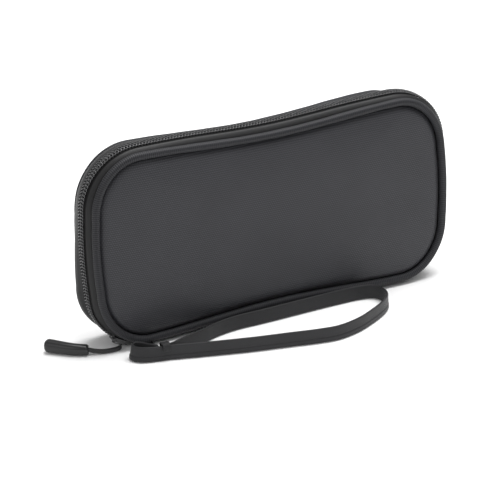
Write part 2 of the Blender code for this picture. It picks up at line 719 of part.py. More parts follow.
BUTTON_X = -38.0
boolean(probe_shell_front, rod("cut_button", (BUTTON_X, -12.0, PROBE_Z), (BUTTON_X, -2.0, PROBE_Z), 6.6,
                               sides=24), "DIFFERENCE")
probe_button = dress(rod("probe_button", (BUTTON_X, -8.3, PROBE_Z), (BUTTON_X, -3.6, PROBE_Z), 6.2,
                         sides=24, bevel=0.6), (0.5, 0.03, 0.02), 0.5)
boolean(probe_shell_front, rod("cut_probe_led", (-58.0, -12.0, PROBE_Z), (-58.0, -2.0, PROBE_Z), 2.0,
                               sides=16), "DIFFERENCE")
probe_led = dress(rod("probe_led", (-58.0, -7.6, PROBE_Z), (-58.0, -3.0, PROBE_Z), 1.6, sides=16,
                      bevel=0.5), (0.6, 0.05, 0.03), 0.2)
for k in range(5):
    z = PROBE_Z - 8.0 + 4.0 * k
    boolean(probe_shell_front, box("cut_grille_%d" % k, (12.0, -12.0, z - 0.8), (32.0, -2.0, z + 0.8)),
            "DIFFERENCE")
probe_speaker = dress(rod("probe_speaker", (22.0, -4.7, PROBE_Z), (22.0, 0.6, PROBE_Z), 12.5, sides=28,
                          bevel=0.5), (0.1, 0.1, 0.1), 0.5)

WHEEL = (-14.0, SPLIT_Y, PROBE_Z - PROBE_HW + 7.6)
wheel_slot = box("cut_wheel", (WHEEL[0] - 9.6, WHEEL[1] - 2.6, PROBE_Z - PROBE_HW - 3.0),
                 (WHEEL[0] + 9.6, WHEEL[1] + 2.6, WHEEL[2] + 2.0))
boolean(probe_shell_front, wheel_slot, "DIFFERENCE")
boolean(probe_shell_back, wheel_slot, "DIFFERENCE")
probe_volume_wheel = dress(rod("probe_volume_wheel", (WHEEL[0], WHEEL[1] - 2.0, WHEEL[2]),
                               (WHEEL[0], WHEEL[1] + 2.0, WHEEL[2]), 9.0, sides=32, bevel=0.3),
                           (0.02, 0.02, 0.02), 0.5)
wheel_notches = [rod("cut_notch_%d" % k, (WHEEL[0] + 9.3 * math.cos(k * math.pi / 6),
                                         WHEEL[1] - 4.0, WHEEL[2] + 9.3 * math.sin(k * math.pi / 6)),
                     (WHEEL[0] + 9.3 * math.cos(k * math.pi / 6), WHEEL[1] + 4.0,
                      WHEEL[2] + 9.3 * math.sin(k * math.pi / 6)), 0.8, sides=8) for k in range(12)]
for notch in wheel_notches:
    boolean(probe_volume_wheel, notch, "DIFFERENCE")
probe_pcb = dress(box("probe_pcb", (-48.0, 7.3, PROBE_Z - 13.0), (44.0, 8.9, PROBE_Z + 14.0)),
                  (0.02, 0.18, 0.06), 0.5)
probe_battery = dress(box("probe_battery", (49.0, -4.4, PROBE_Z - 13.2), (97.5, 12.6, PROBE_Z + 13.2), 1.5),
                      (0.1, 0.1, 0.11), 0.3, 0.7)
boolean(probe_shell_back, box("cut_probe_cover", (52.0, ITEM_BACK - 1.0, PROBE_Z - 12.0), (92.0, 20.0, PROBE_Z + 12.0)),
        "DIFFERENCE")
probe_battery_cover = dress(box("probe_battery_cover", (52.35, ITEM_BACK - 0.7, PROBE_Z - 11.65),
                                (91.65, ITEM_BACK + 0.1, PROBE_Z + 11.65), 0.3), (0.03, 0.03, 0.03), 0.55)
boolean(probe_battery_cover, rod("cut_cover_screw", (58.0, 12.0, PROBE_Z), (58.0, 20.0, PROBE_Z), 2.2,
                                 sides=16), "DIFFERENCE")
probe_cover_screw = dress(rod("probe_cover_screw", (58.0, ITEM_BACK - 0.7, PROBE_Z), (58.0, ITEM_BACK, PROBE_Z), 1.9,
                              sides=16), (0.5, 0.5, 0.5), 0.3, 1.0)

X0, X1, Z0, Z1 = TONER
toner_shape = rounded(X0, X1, Z0, Z1, 7.0)
toner_shell_front = dress(half_shell("toner_shell_front", toner_shape, SPLIT_Y - 0.15, ITEM_FRONT, 1.8, 2.6),
                          TONER_COLOUR, 0.5)
toner_shell_back = dress(half_shell("toner_shell_back", toner_shape, SPLIT_Y + 0.15, ITEM_BACK, 1.8, 2.6),
                         (0.03, 0.03, 0.03), 0.55)
SW_X, SW_Z = -12.0, 42.0
boolean(toner_shell_front, box("cut_switch", (SW_X - 7.5, -12.0, SW_Z - 3.2), (SW_X + 7.5, -2.0, SW_Z + 3.2)),
        "DIFFERENCE")
toner_slide_switch = dress(box("toner_slide_switch", (SW_X - 3.5, -8.2, SW_Z - 2.8),
                               (SW_X + 3.5, -3.4, SW_Z + 2.8), 0.5), (0.02, 0.02, 0.02), 0.5)
boolean(toner_shell_front, rod("cut_toner_led", (-12.0, -12.0, 56.0), (-12.0, -2.0, 56.0), 2.0, sides=16),
        "DIFFERENCE")
toner_led = dress(rod("toner_led", (-12.0, -7.6, 56.0), (-12.0, -3.0, 56.0), 1.6, sides=16, bevel=0.5),
                  (0.05, 0.5, 0.08), 0.2)
toner_pcb = dress(box("toner_pcb", (-26.0, 4.0, 20.0), (14.0, 5.6, 64.0)), (0.02, 0.18, 0.06), 0.5)
toner_battery = dress(box("toner_battery", (17.0, -4.4, 29.0), (65.5, 12.6, 55.4), 1.5),
                      (0.1, 0.1, 0.11), 0.3, 0.7)
boolean(toner_shell_back, box("cut_toner_cover", (22.0, ITEM_BACK - 1.0, 30.0), (62.0, 20.0, 54.0)), "DIFFERENCE")
toner_battery_cover = dress(box("toner_battery_cover", (22.35, ITEM_BACK - 0.7, 30.35), (61.65, ITEM_BACK + 0.1, 53.65), 0.3),
                            (0.03, 0.03, 0.03), 0.55)
boolean(toner_battery_cover, rod("cut_toner_screw", (28.0, 12.0, 42.0), (28.0, 20.0, 42.0), 2.2, sides=16),
        "DIFFERENCE")
toner_cover_screw = dress(rod("toner_cover_screw", (28.0, ITEM_BACK - 0.7, 42.0), (28.0, ITEM_BACK, 42.0), 1.9, sides=16),
                          (0.5, 0.5, 0.5), 0.3, 1.0)
gland_hole = rod("cut_gland", (X0 - 3.0, SPLIT_Y, 42.0), (X0 + 4.0, SPLIT_Y, 42.0), 3.3, sides=16)
boolean(toner_shell_front, gland_hole, "DIFFERENCE")
boolean(toner_shell_back, gland_hole, "DIFFERENCE")
toner_gland = dress(rod("toner_gland", (X0 - 1.6, SPLIT_Y, 42.0), (X0 + 3.4, SPLIT_Y, 42.0), 3.0, sides=20,
                        bevel=0.4), (0.02, 0.02, 0.02), 0.6)
boolean(toner_gland, rod("cut_gland_bore", (X0 - 5.0, SPLIT_Y, 42.0), (X0 + 8.0, SPLIT_Y, 42.0), 1.6,
                         sides=16), "DIFFERENCE")


def elastic_loop(name, x0, x1, z0, z1):
    """A band of elastic round a tool, sewn down behind it."""
    def sleeve(label, off, xa, xb):
        lo_y, hi_y, lo_z, hi_z = ITEM_FRONT - off, ITEM_BACK + off, z0 - off, z1 + off
        cut = 1.6
        shape = [(lo_y + cut, lo_z), (hi_y - cut, lo_z), (hi_y, lo_z + cut), (hi_y, hi_z - cut),
                 (hi_y - cut, hi_z), (lo_y + cut, hi_z), (lo_y, hi_z - cut), (lo_y, lo_z + cut)]
        return loft(label, [[Vector((x, y, z)) * MM for y, z in shape] for x in (xa, xb)], smooth=None)
    loop = sleeve(name, 1.25, x0, x1)
    boolean(loop, sleeve("cut_" + name, 0.35, x0 - 5, x1 + 5), "DIFFERENCE")
    return dress(loop, SMOOTH, 0.85)


probe_loop_left = elastic_loop("probe_loop_left", -4.0, 10.0, PROBE_Z - PROBE_HW, PROBE_Z + PROBE_HW)
probe_loop_right = elastic_loop("probe_loop_right", 56.0, 76.0, PROBE_Z - PROBE_HW, PROBE_Z + PROBE_HW)
toner_loop = elastic_loop("toner_loop", 10.0, 30.0, Z0, Z1)

# --------------------------------------------------------------- pivots of motion
front_hinge = pivot("front_hinge", 0.0, FRONT_Y, 4.9)
back_hinge = pivot("back_hinge", 0.0, BACK_Y, 4.9)
slider_pivot = pivot("slider_pivot", ARC_X, 0.0, ARC_Z)
pull_x, pull_z = arc_point(PARK_A, 2.9)
pull_pivot = pivot("pull_pivot", pull_x, 0.0, pull_z, slider_pivot)
button_pivot = pivot("button_pivot", BUTTON_X, ITEM_FRONT, PROBE_Z, back_hinge)
wheel_pivot = pivot("wheel_pivot", *WHEEL, back_hinge)
switch_pivot = pivot("switch_pivot", SW_X, ITEM_FRONT, SW_Z, back_hinge)

hang(front_hinge, front_panel, front_lining, front_piping, front_gusset, zipper_tape_front,
     zipper_coil_front, mesh_pocket, pocket_binding)
hang(back_hinge, back_panel, back_lining, back_piping, back_gusset, zipper_tape_back, zipper_coil_back,
     probe_shell_front, probe_shell_back, probe_tip, probe_led, probe_speaker, probe_pcb, probe_battery,
     probe_battery_cover, probe_cover_screw, toner_shell_front, toner_shell_back, toner_led, toner_pcb,
     toner_battery, toner_battery_cover, toner_cover_screw, toner_gland, probe_loop_left,
     probe_loop_right, toner_loop)
hang(slider_pivot, slider_body)
hang(pull_pivot, pull_cord, pull_grip)
hang(button_pivot, probe_button)
hang(wheel_pivot, probe_volume_wheel)
hang(switch_pivot, toner_slide_switch)

case_frame = bpy.data.objects.new("case_frame", None)
KIT.objects.link(case_frame)
case_frame.location = (0.0, -THICK_MID * MM, 0.0)
for obj in list(KIT.objects) + list(CUTTERS.objects):
    if obj.parent is None and obj is not case_frame:
        obj.parent = case_frame
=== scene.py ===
"""Looks of the zip-around tone probe kit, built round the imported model.

Frame: X along the case, front face towards -Y, +Z up, y = 0 at the middle of the
thickness. Sizes are in millimetres in the constants, drawn with y = 0 in the
zip's plane, and become metres of the row's frame through place().
"""

import math

import bmesh
import bpy
import numpy as np
from mathutils import Matrix, Vector


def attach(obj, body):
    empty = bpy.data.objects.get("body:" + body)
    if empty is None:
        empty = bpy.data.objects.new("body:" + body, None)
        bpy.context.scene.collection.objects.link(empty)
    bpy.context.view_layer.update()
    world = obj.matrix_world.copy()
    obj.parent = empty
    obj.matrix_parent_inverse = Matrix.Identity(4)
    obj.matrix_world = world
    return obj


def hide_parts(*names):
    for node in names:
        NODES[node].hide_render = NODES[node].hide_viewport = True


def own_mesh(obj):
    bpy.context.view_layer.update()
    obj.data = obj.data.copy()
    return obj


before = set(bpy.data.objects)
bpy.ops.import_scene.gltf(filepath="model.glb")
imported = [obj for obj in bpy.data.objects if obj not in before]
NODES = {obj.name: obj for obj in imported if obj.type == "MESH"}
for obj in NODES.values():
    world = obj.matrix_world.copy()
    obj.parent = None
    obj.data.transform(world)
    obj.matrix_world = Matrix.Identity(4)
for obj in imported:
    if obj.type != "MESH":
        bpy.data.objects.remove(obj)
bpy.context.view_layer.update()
MM = 0.001
THICK_MID = 4.5
scene = bpy.context.scene

# ------------------------------------------------------------------- the camera
AZIMUTH, ELEVATION, ROLL = math.radians(25.43), math.radians(21.99), -0.0440
CAM_AT = Vector((-618.7, -1302.9, 646.0)) * MM
ca, sa, ce, se = math.cos(AZIMUTH), math.sin(AZIMUTH), math.cos(ELEVATION), math.sin(ELEVATION)
right = Vector((ca, -sa, 0.0))
up = Vector((sa * se, ca * se, ce))
ahead = Vector((sa * ce, ca * ce, -se))
right2 = right * math.cos(ROLL) + up * math.sin(ROLL)
up2 = up * math.cos(ROLL) - right * math.sin(ROLL)
cam = bpy.data.objects.new("camera", bpy.data.cameras.new("camera"))
scene.collection.objects.link(cam)
cam.matrix_world = Matrix((
    (right2.x, up2.x, -ahead.x, CAM_AT.x),
    (right2.y, up2.y, -ahead.y, CAM_AT.y),
    (right2.z, up2.z, -ahead.z, CAM_AT.z),
    (0, 0, 0, 1)))
cam.data.sensor_width = 36.0
cam.data.lens = 188.0
cam.data.shift_x = -0.0546
cam.data.shift_y = -0.0570
cam.data.clip_start, cam.data.clip_end = 0.05, 20.0
scene.camera = cam

# ------------------------------------------------------- sizes, all as in the CAD
CASE_Z = 64.0
PIPE_R = 2.5
FRONT_Y, BACK_Y = -9.5, 19.0
END_BOW = 1.1
PANEL_T, PANEL_INSET = 1.6, 2.85
FRONT_CROWN, BACK_CROWN, CROWN_POWER = 3.0, 2.5, 3.2
LINING_T, GAP = 0.6, 0.3
PARK_A, CHAIN_END_A, TAIL_A, SLIDER_HALF_A = 30.0, 40.0, 15.0, 6.6
STRAP_W, STRAP_T = 9.8, 1.6
PULL_CORD_R = 1.45
ITEM_BACK, ITEM_FRONT = 15.2, -7.0
PROBE_Z, PROBE_HW = 92.0, 19.0
TONER = (-30.0, 70.0, 15.0, 69.4)
N_HALF, N_CORNER, N_SIDE = 6, 8, 4
ROUND = 4 * N_HALF + 4 * N_CORNER + 2 * N_SIDE


def spec(hx, top, bottom, rx, rz, waist_top, waist_bot, power, flat=0.0, dx=0.0):
    return dict(hx=hx, top=top, bottom=bottom, rx=rx, rz=rz, wt=waist_top,
                wb=waist_bot, power=power, flat=flat, dx=dx)


FRONT_LINE = spec(118.0, 59.3, 59.3, 30.4, 35.6, 3.9, 3.8, 0.875)
BACK_LINE = spec(116.0, 57.3, 59.3, 33.0, 38.0, 3.9, 3.8, 0.875, dx=-1.8)
BULGE = 5.0
ZIP_LINE = spec(123.6, 64.0, 64.0, 37.9, 37.9, 2.4, 2.4, 1.4, 13.0)


def place(x, y, z):
    """Millimetres with y = 0 in the zip's plane to metres of the row's frame."""
    return (x * MM, (y - THICK_MID) * MM, z * MM)


def edge_point(line, u):
    """Point (x, z) at station u, from the middle of the bottom edge to the left,
    up, across the top to the right, down and back."""
    u = u % ROUND
    xe = line["hx"] - line["rx"]

    def waist(x, depth, flat):
        t = min(1.0, abs(x) / (xe - flat))
        return depth * (0.5 * (1 + math.cos(math.pi * t))) ** line["power"]

    mirror = 1.0
    if u > ROUND / 2:
        u = ROUND - u
        mirror = -1.0
    z_low = -(line["bottom"] - line["rz"])
    z_high = line["top"] - line["rz"]
    if u <= N_HALF:
        x = -xe * u / N_HALF
        z = -line["bottom"] + waist(x, line["wb"], line["flat"])
    elif u <= N_HALF + N_CORNER:
        a = math.radians(90) * (u - N_HALF) / N_CORNER
        x = -xe - line["rx"] * math.sin(a)
        z = z_low - line["rz"] * math.cos(a)
    elif u <= N_HALF + N_CORNER + N_SIDE:
        t = (u - N_HALF - N_CORNER) / N_SIDE
        x = -line["hx"] - END_BOW * (1 - (2 * t - 1) ** 2)
        z = z_low + (z_high - z_low) * t
    elif u <= N_HALF + 2 * N_CORNER + N_SIDE:
        a = math.radians(90) * (u - N_HALF - N_CORNER - N_SIDE) / N_CORNER
        x = -xe - line["rx"] * math.cos(a)
        z = z_high + line["rz"] * math.sin(a)
    else:
        x = -xe * (1 - (u - N_HALF - 2 * N_CORNER - N_SIDE) / N_HALF)
        z = line["top"] - waist(x, line["wt"], 0.0)
    return mirror * x + line["dx"], CASE_Z + z


def edge_normal(line, u):
    h = 0.05
    x0, z0 = edge_point(line, u - h)
    x1, z1 = edge_point(line, u + h)
    dx, dz = x1 - x0, z1 - z0
    size = math.hypot(dx, dz)
    return -dz / size, dx / size


def on_skin(u, y, m, n):
    """A point of the gusset: m = 1 on the zip's line, 0 on the piping's, n outward."""
    zx, zz = edge_point(ZIP_LINE, u)
    px, pz = edge_point(FRONT_LINE if y < 0 else BACK_LINE, u)
    nx, nz = edge_normal(ZIP_LINE, u)
    return (px + (zx - px) * m + nx * n, y, pz + (zz - pz) * m + nz * n)


def corner_u(angle):
    return N_HALF + N_CORNER * angle / 90.0


def run_lengths(points):
    pts = np.array(points, float)
    steps = np.linalg.norm(np.diff(pts, axis=0), axis=1)
    return np.concatenate([[0.0], np.cumsum(steps)])


FINE_U = np.linspace(0, ROUND, 2561)
ZIP_S = run_lengths([edge_point(ZIP_LINE, u) for u in FINE_U[:-1]] + [edge_point(ZIP_LINE, 0.0)])


def zip_s(u):
    """Length round the zip's line at station u, in millimetres."""
    turns = math.floor(u / ROUND)
    return turns * ZIP_S[-1] + float(np.interp(u - turns * ROUND, FINE_U, ZIP_S))


def zip_u(s):
    turns = math.floor(s / ZIP_S[-1])
    return turns * ROUND + float(np.interp(s - turns * ZIP_S[-1], ZIP_S, FINE_U))


# ------------------------------------------------------------------ mesh helpers
def make(name, verts, faces, uvs=None, sharp=None):
    """A mesh object from points in millimetres; uvs holds one pair per face corner."""
    mesh = bpy.data.meshes.new(name)
    mesh.from_pydata([place(*v) for v in verts], [], faces)
    if uvs is not None:
        layer = mesh.uv_layers.new(name="cloth")
        layer.data.foreach_set("uv", np.array(uvs, np.float32).ravel())
    mesh.validate()
    mesh.shade_smooth()
    if sharp:
        mesh.set_sharp_from_angle(angle=math.radians(sharp))
    obj = bpy.data.objects.new(name, mesh)
    scene.collection.objects.link(obj)
    return obj


def skin_data(rings, along, across, closed=False, caps=True, base=0):
    """Faces and corner UVs of closed sections in a row. along has a length for
    each ring (one more if closed), across one for each point and one more."""
    n, m = len(rings), len(rings[0])
    verts = [tuple(p) for ring in rings for p in ring]
    faces, uvs = [], []
    spans = n if closed else n - 1
    for i in range(spans):
        a, b = i * m, ((i + 1) % n) * m
        for j in range(m):
            k = (j + 1) % m
            faces.append((base + a + j, base + b + j, base + b + k, base + a + k))
            uvs += [(along[i], across[j]), (along[i + 1], across[j]),
                    (along[i + 1], across[j + 1]), (along[i], across[j + 1])]
    if not closed and caps:
        faces.append(tuple(base + j for j in range(m)))
        uvs += [(along[0], across[j]) for j in range(m)]
        faces.append(tuple(base + (n - 1) * m + j for j in reversed(range(m))))
        uvs += [(along[-1], across[j]) for j in reversed(range(m))]
    return verts, faces, uvs


def outward(obj):
    bm = bmesh.new()
    bm.from_mesh(obj.data)
    bmesh.ops.recalc_face_normals(bm, faces=bm.faces)
    bm.to_mesh(obj.data)
    bm.free()
    return obj


def skin(name, rings, along=None, across=None, closed=False, caps=True, sharp=None):
    if along is None:
        mids = [np.mean(np.array(r), axis=0) for r in rings]
        along = list(run_lengths(mids + ([mids[0]] if closed else [])))
    if across is None:
        first = [np.array(p) for p in rings[len(rings) // 2]]
        across = list(run_lengths(first + [first[0]]))
    return outward(make(name, *skin_data(rings, along, across, closed, caps), sharp=sharp))


def many(name, parts, sharp=None):
    """One object out of several runs of sections."""
    verts, faces, uvs = [], [], []
    for rings, closed in parts:
        mids = [np.mean(np.array(r), axis=0) for r in rings]
        along = list(run_lengths(mids + ([mids[0]] if closed else [])))
        first = [np.array(p) for p in rings[0]]
        across = list(run_lengths(first + [first[0]]))
        v, f, t = skin_data(rings, along, across, closed, True, len(verts))
        verts += v
        faces += f
        uvs += t
    return outward(make(name, verts, faces, uvs, sharp))


def smooth_run(points, per_span=6):
    """Catmull-Rom run through the given points."""
    pts = [Vector(p) for p in points]
    pts = [pts[0] * 2 - pts[1]] + pts + [pts[-1] * 2 - pts[-2]]
    out = []
    for i in range(1, len(pts) - 2):
        a, b, c, d = pts[i - 1:i + 3]
        for k in range(per_span):
            t = k / per_span
            out.append(0.5 * ((2 * b) + (c - a) * t + (2 * a - 5 * b + 4 * c - d) * t * t
                              + (3 * b - a - 3 * c + d) * t ** 3))
    out.append(pts[-2])
    return out


def tube_rings(path, radius, sides=10, closed=False):
    """Round sections along a path; radius is a number or one per point."""
    pts = [Vector(p) for p in path]
    n = len(pts)
    rad = [radius] * n if isinstance(radius, (int, float)) else list(radius)
    rings = []
    last = None
    for i, p in enumerate(pts):
        a = pts[i - 1] if (i or closed) else pts[0]
        b = pts[(i + 1) % n] if (i < n - 1 or closed) else pts[-1]
        t = (b - a).normalized()
        if last is None:
            side = t.cross(Vector((0, 0, 1)))
            if side.length < 0.1:
                side = t.cross(Vector((0, 1, 0)))
        else:
            side = last - t * last.dot(t)
        side.normalize()
        last = side
        other = t.cross(side)
        rings.append([tuple(p + side * (math.cos(2 * math.pi * k / sides) * rad[i])
                            + other * (math.sin(2 * math.pi * k / sides) * rad[i])) for k in range(sides)])
    return rings


def dense(points, step):
    """Open profile points (tuples) resampled so that no piece is longer than step."""
    pts = [np.array(p, float) for p in points]
    out = [pts[0]]
    for a, b in zip(pts, pts[1:]):
        count = max(1, int(math.ceil(np.linalg.norm(b - a) / step)))
        for k in range(1, count + 1):
            out.append(a + (b - a) * k / count)
    return [tuple(p) for p in out]


# --------------------------------------------------------------------- materials
class Tree:
    """Short-hand for a material's node tree."""

    def __init__(self, name):
        self.mat = bpy.data.materials.new(name)
        self.mat.use_nodes = True
        self.nt = self.mat.node_tree
        self.shader = self.nt.nodes["Principled BSDF"]

    def node(self, kind, **settings):
        made = self.nt.nodes.new(kind)
        for key, value in settings.items():
            setattr(made, key, value)
        return made

    def link(self, a, b):
        self.nt.links.new(a, b)

    def math(self, op, a, b=None, c=None, clamp=False):
        made = self.node("ShaderNodeMath", operation=op, use_clamp=clamp)
        for i, value in enumerate((a, b, c)):
            if value is None:
                continue
            if isinstance(value, (int, float)):
                made.inputs[i].default_value = value
            else:
                self.link(value, made.inputs[i])
        return made.outputs[0]

    def coords(self, space):
        """Two sockets, in millimetres, along and across the cloth."""
        if space == "UV":
            src = self.node("ShaderNodeUVMap", uv_map="cloth")
            split = self.node("ShaderNodeSeparateXYZ")
            self.link(src.outputs["UV"], split.inputs[0])
            return split.outputs[0], split.outputs[1]
        src = self.node("ShaderNodeTexCoord")
        split = self.node("ShaderNodeSeparateXYZ")
        self.link(src.outputs["Object"], split.inputs[0])
        first, second = {"XZ": (0, 2), "XY": (0, 1), "YZ": (1, 2)}[space]
        return (self.math("MULTIPLY", split.outputs[first], 1000.0),
                self.math("MULTIPLY", split.outputs[second], 1000.0))

    def wave(self, socket, pitch, phase=0.0):
        return self.math("SINE", self.math("MULTIPLY_ADD", socket, 2 * math.pi / pitch, phase))

    def noise(self, scale, detail=2.0, rough=0.5):
        tex = self.node("ShaderNodeTexNoise")
        tex.inputs["Scale"].default_value = scale
        tex.inputs["Detail"].default_value = detail
        tex.inputs["Roughness"].default_value = rough
        src = self.node("ShaderNodeTexCoord")
        self.link(src.outputs["Object"], tex.inputs["Vector"])
        return tex.outputs[0]

    def ramp(self, socket, stops):
        made = self.node("ShaderNodeValToRGB")
        self.link(socket, made.inputs[0])
        elements = made.color_ramp.elements
        while len(elements) < len(stops):
            elements.new(0.5)
        for e, (at, colour) in zip(elements, stops):
            e.position = at
            e.color = (*colour, 1.0)
        return made.outputs[0]

    def blend(self, a, b, factor, mode="MIX"):
        made = self.node("ShaderNodeMix", data_type="RGBA", blend_type=mode)
        for socket, value in ((made.inputs[6], a), (made.inputs[7], b)):
            if isinstance(value, tuple):
                socket.default_value = (*value, 1.0)
            else:
                self.link(value, socket)
        if isinstance(factor, (int, float)):
            made.inputs[0].default_value = factor
        else:
            self.link(factor, made.inputs[0])
        return made.outputs[2]

    def bump(self, height, distance, strength=1.0, normal=None):
        made = self.node("ShaderNodeBump")
        made.inputs["Strength"].default_value = strength
        made.inputs["Distance"].default_value = distance
        self.link(height, made.inputs["Height"])
        if normal is not None:
            self.link(normal, made.inputs["Normal"])
        return made.outputs["Normal"]

    def set(self, **values):
        for key, value in values.items():
            self.shader.inputs[key.replace("_", " ")].default_value = value


def tone(colour, k):
    return tuple(min(1.0, c * k) for c in colour)


def woven(name, colour, pitch=1.25, pitch2=None, weave="plain", space="XZ", depth=0.06,
          painted_gap_shade=0.55, painted_crown_highlight=1.35, rough=0.62, sheen=0.25, fuzz=0.15, sheen_rough=0.4,
          wear=0.0, spec=0.35, tint=(1.0, 1.0, 1.0)):
    """Cloth with its threads drawn in height, and in colour as painted shade in the gaps and painted highlight on the
    thread crowns.
    """
    t = Tree(name)
    a, b = t.coords(space)
    pitch2 = pitch2 or pitch
    if weave == "plain":
        h = t.math("MULTIPLY", t.wave(a, pitch), t.wave(b, pitch2))
    elif weave == "brick":
        h = t.math("MULTIPLY", t.math("ADD", t.wave(b, pitch2, math.pi / 2),
                                      t.math("MULTIPLY", t.wave(a, pitch), t.wave(b, pitch2 * 2, math.pi / 2))), 0.5)
    elif weave == "rib":
        h = t.math("MULTIPLY_ADD", t.wave(b, pitch2), 0.25, t.wave(a, pitch))
    elif weave == "twill":
        h = t.wave(t.math("ADD", a, b), pitch)
    elif weave == "herringbone":
        folded = t.math("PINGPONG", b, pitch2 * 2)
        h = t.wave(t.math("ADD", a, folded), pitch)
    else:                                # knit
        h = t.math("MULTIPLY", t.wave(a, pitch), t.math("ABSOLUTE", t.wave(b, pitch2 * 2)))
    h01 = t.math("MULTIPLY_ADD", h, 0.5, 0.5, clamp=True)
    fine = t.noise(2600.0, 2.0, 0.6)
    height = t.math("MULTIPLY_ADD", fine, fuzz, h01)
    cloud = t.noise(26.0, 3.0, 0.55)
    # painted shade and highlight: base colour darkened in the thread gaps and lightened on the thread crowns, following
    # the weave's height
    low = t.ramp(h01, [(0.0, tone(colour, painted_gap_shade)), (0.5, colour),
                       (1.0, tuple(min(1.0, c * painted_crown_highlight * q) for c, q in zip(colour, tint)))])
    shade = t.ramp(cloud, [(0.3, (0.82,) * 3), (0.7, (1.12,) * 3)])
    mixed = t.blend(low, shade, 0.6, "MULTIPLY")
    speck = t.ramp(fine, [(0.35, (0.86,) * 3), (0.75, (1.1,) * 3)])
    mixed = t.blend(mixed, speck, 0.5, "MULTIPLY")
    if wear:
        worn = t.math("MULTIPLY", t.noise(90.0, 4.0, 0.65), wear)
        mixed = t.blend(mixed, tone(colour, 2.2), worn)
    t.link(mixed, t.shader.inputs["Base Color"])
    t.link(t.math("MULTIPLY_ADD", h01, -0.14, rough + 0.07), t.shader.inputs["Roughness"])
    t.link(t.bump(height, depth * MM), t.shader.inputs["Normal"])
    t.set(Sheen_Weight=sheen, Sheen_Roughness=sheen_rough, Specular_IOR_Level=spec)
    return t.mat


def plastic(name, colour, rough=0.45, grain=0.02, scale=1800.0, spec=0.5, coat=0.0, edge=0.25, metal=0.0):
    """Moulded plastic, rubber or metal with fine grain, soft blotches and a painted highlight that lightens the edges.
    """
    t = Tree(name)
    fine = t.noise(scale, 3.0, 0.55)
    cloud = t.noise(55.0, 3.0, 0.5)
    shade = t.ramp(cloud, [(0.3, tone(colour, 0.86)), (0.7, tone(colour, 1.12))])
    # painted highlight: convex edges, found by pointiness, blended toward a lighter colour; edge sets its strength
    geo = t.node("ShaderNodeNewGeometry")
    painted_edge_highlight = t.ramp(geo.outputs["Pointiness"], [(0.5, (0.0,) * 3), (0.62, (1.0,) * 3)])
    painted_edge_highlight_weight = t.math("MULTIPLY", painted_edge_highlight, edge)
    mixed = t.blend(shade, tuple(min(1.0, c * 1.5 + 0.03) for c in colour), painted_edge_highlight_weight)
    t.link(mixed, t.shader.inputs["Base Color"])
    t.link(t.math("MULTIPLY_ADD", fine, 0.16, rough - 0.08), t.shader.inputs["Roughness"])
    t.link(t.bump(fine, grain * MM), t.shader.inputs["Normal"])
    t.set(Specular_IOR_Level=spec, Coat_Weight=coat, Metallic=metal)
    return t.mat


def wear_of(obj, mat):
    obj.data.materials.clear()
    obj.data.materials.append(mat)
    return obj


PANEL_C = (0.0225, 0.0228, 0.0270)
TRIM_C = (0.0175, 0.0177, 0.0205)
GUSSET_C = (0.0085, 0.0085, 0.009)
M_PANEL = woven("panel_nylon", PANEL_C, pitch=1.45, pitch2=1.34, weave="brick", space="XZ", depth=0.12,
                painted_gap_shade=0.35, painted_crown_highlight=1.8, rough=0.48, sheen=0.08, spec=0.36)
M_PIPE = woven("piping_tape", TRIM_C, pitch=1.25, pitch2=2.6, weave="rib", space="UV", depth=0.14,
               painted_gap_shade=0.4, painted_crown_highlight=1.6, rough=0.55, sheen=0.05, spec=0.26)
M_GUSSET = woven("gusset_nylon", GUSSET_C, pitch=0.8, weave="plain", space="UV", depth=0.05,
                 painted_gap_shade=0.6, painted_crown_highlight=1.4, rough=0.5, sheen=0.05, spec=0.3)
M_TAPE = woven("tape_weave", (0.004, 0.004, 0.0042), pitch=0.7, pitch2=1.2, weave="herringbone", space="UV", depth=0.05,
               painted_gap_shade=0.6, painted_crown_highlight=1.4, rough=0.6, sheen=0.03, spec=0.2)
M_LINING = woven("lining_knit", (0.04, 0.04, 0.044), pitch=0.9, weave="knit", space="XZ", depth=0.08,
                 painted_gap_shade=0.7, painted_crown_highlight=1.2, rough=0.85, sheen=0.4, fuzz=0.5)
M_STRAP = woven("strap_cloth", (0.017, 0.017, 0.0185), pitch=0.62, pitch2=0.62, weave="plain", space="UV", depth=0.05,
                painted_gap_shade=0.75, painted_crown_highlight=1.2, rough=0.55, sheen=0.1, spec=0.3)
M_TACK = woven("tack_thread", (0.012, 0.012, 0.013), pitch=0.6, pitch2=0.6, weave="plain", space="UV", depth=0.08,
               painted_gap_shade=0.5, painted_crown_highlight=1.6, rough=0.6, sheen=0.1, spec=0.3)
M_CORD = woven("cord_braid", (0.026, 0.026, 0.027), pitch=1.1, pitch2=1.5, weave="plain", space="UV", depth=0.12,
               painted_gap_shade=0.55, painted_crown_highlight=1.4, rough=0.55, sheen=0.1, spec=0.3)
M_ELASTIC = woven("elastic_rib", (0.022, 0.022, 0.024), pitch=0.8, pitch2=0.9, weave="rib", space="UV", depth=0.1,
                  painted_gap_shade=0.6, painted_crown_highlight=1.3, rough=0.75, sheen=0.1)
M_MESH = woven("mesh_thread", (0.024, 0.024, 0.026), pitch=0.5, weave="twill", space="UV", depth=0.05, rough=0.6)
# zip coil: colour set well above the tape's so the teeth read bright, partly the nylon's own tone and partly painted
# highlight for the teeth's glints
M_COIL_PAINTED_GLINT = plastic("zip_nylon_painted_glint", (0.060, 0.060, 0.062), rough=0.26, grain=0.004, spec=0.6, edge=0.1)
M_SLIDER = plastic("slider_enamel", (0.014, 0.014, 0.015), rough=0.28, grain=0.004, coat=0.4, edge=0.3)
M_GRIP = plastic("grip_rubber", (0.009, 0.009, 0.0095), rough=0.3, grain=0.012, spec=0.45, edge=0.15)

shown = []


def add(obj, body, mat, slot, *stands_for):
    wear_of(obj, mat)
    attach(obj, body)
    if stands_for:
        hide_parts(*stands_for)
    shown.append(obj)
    return obj


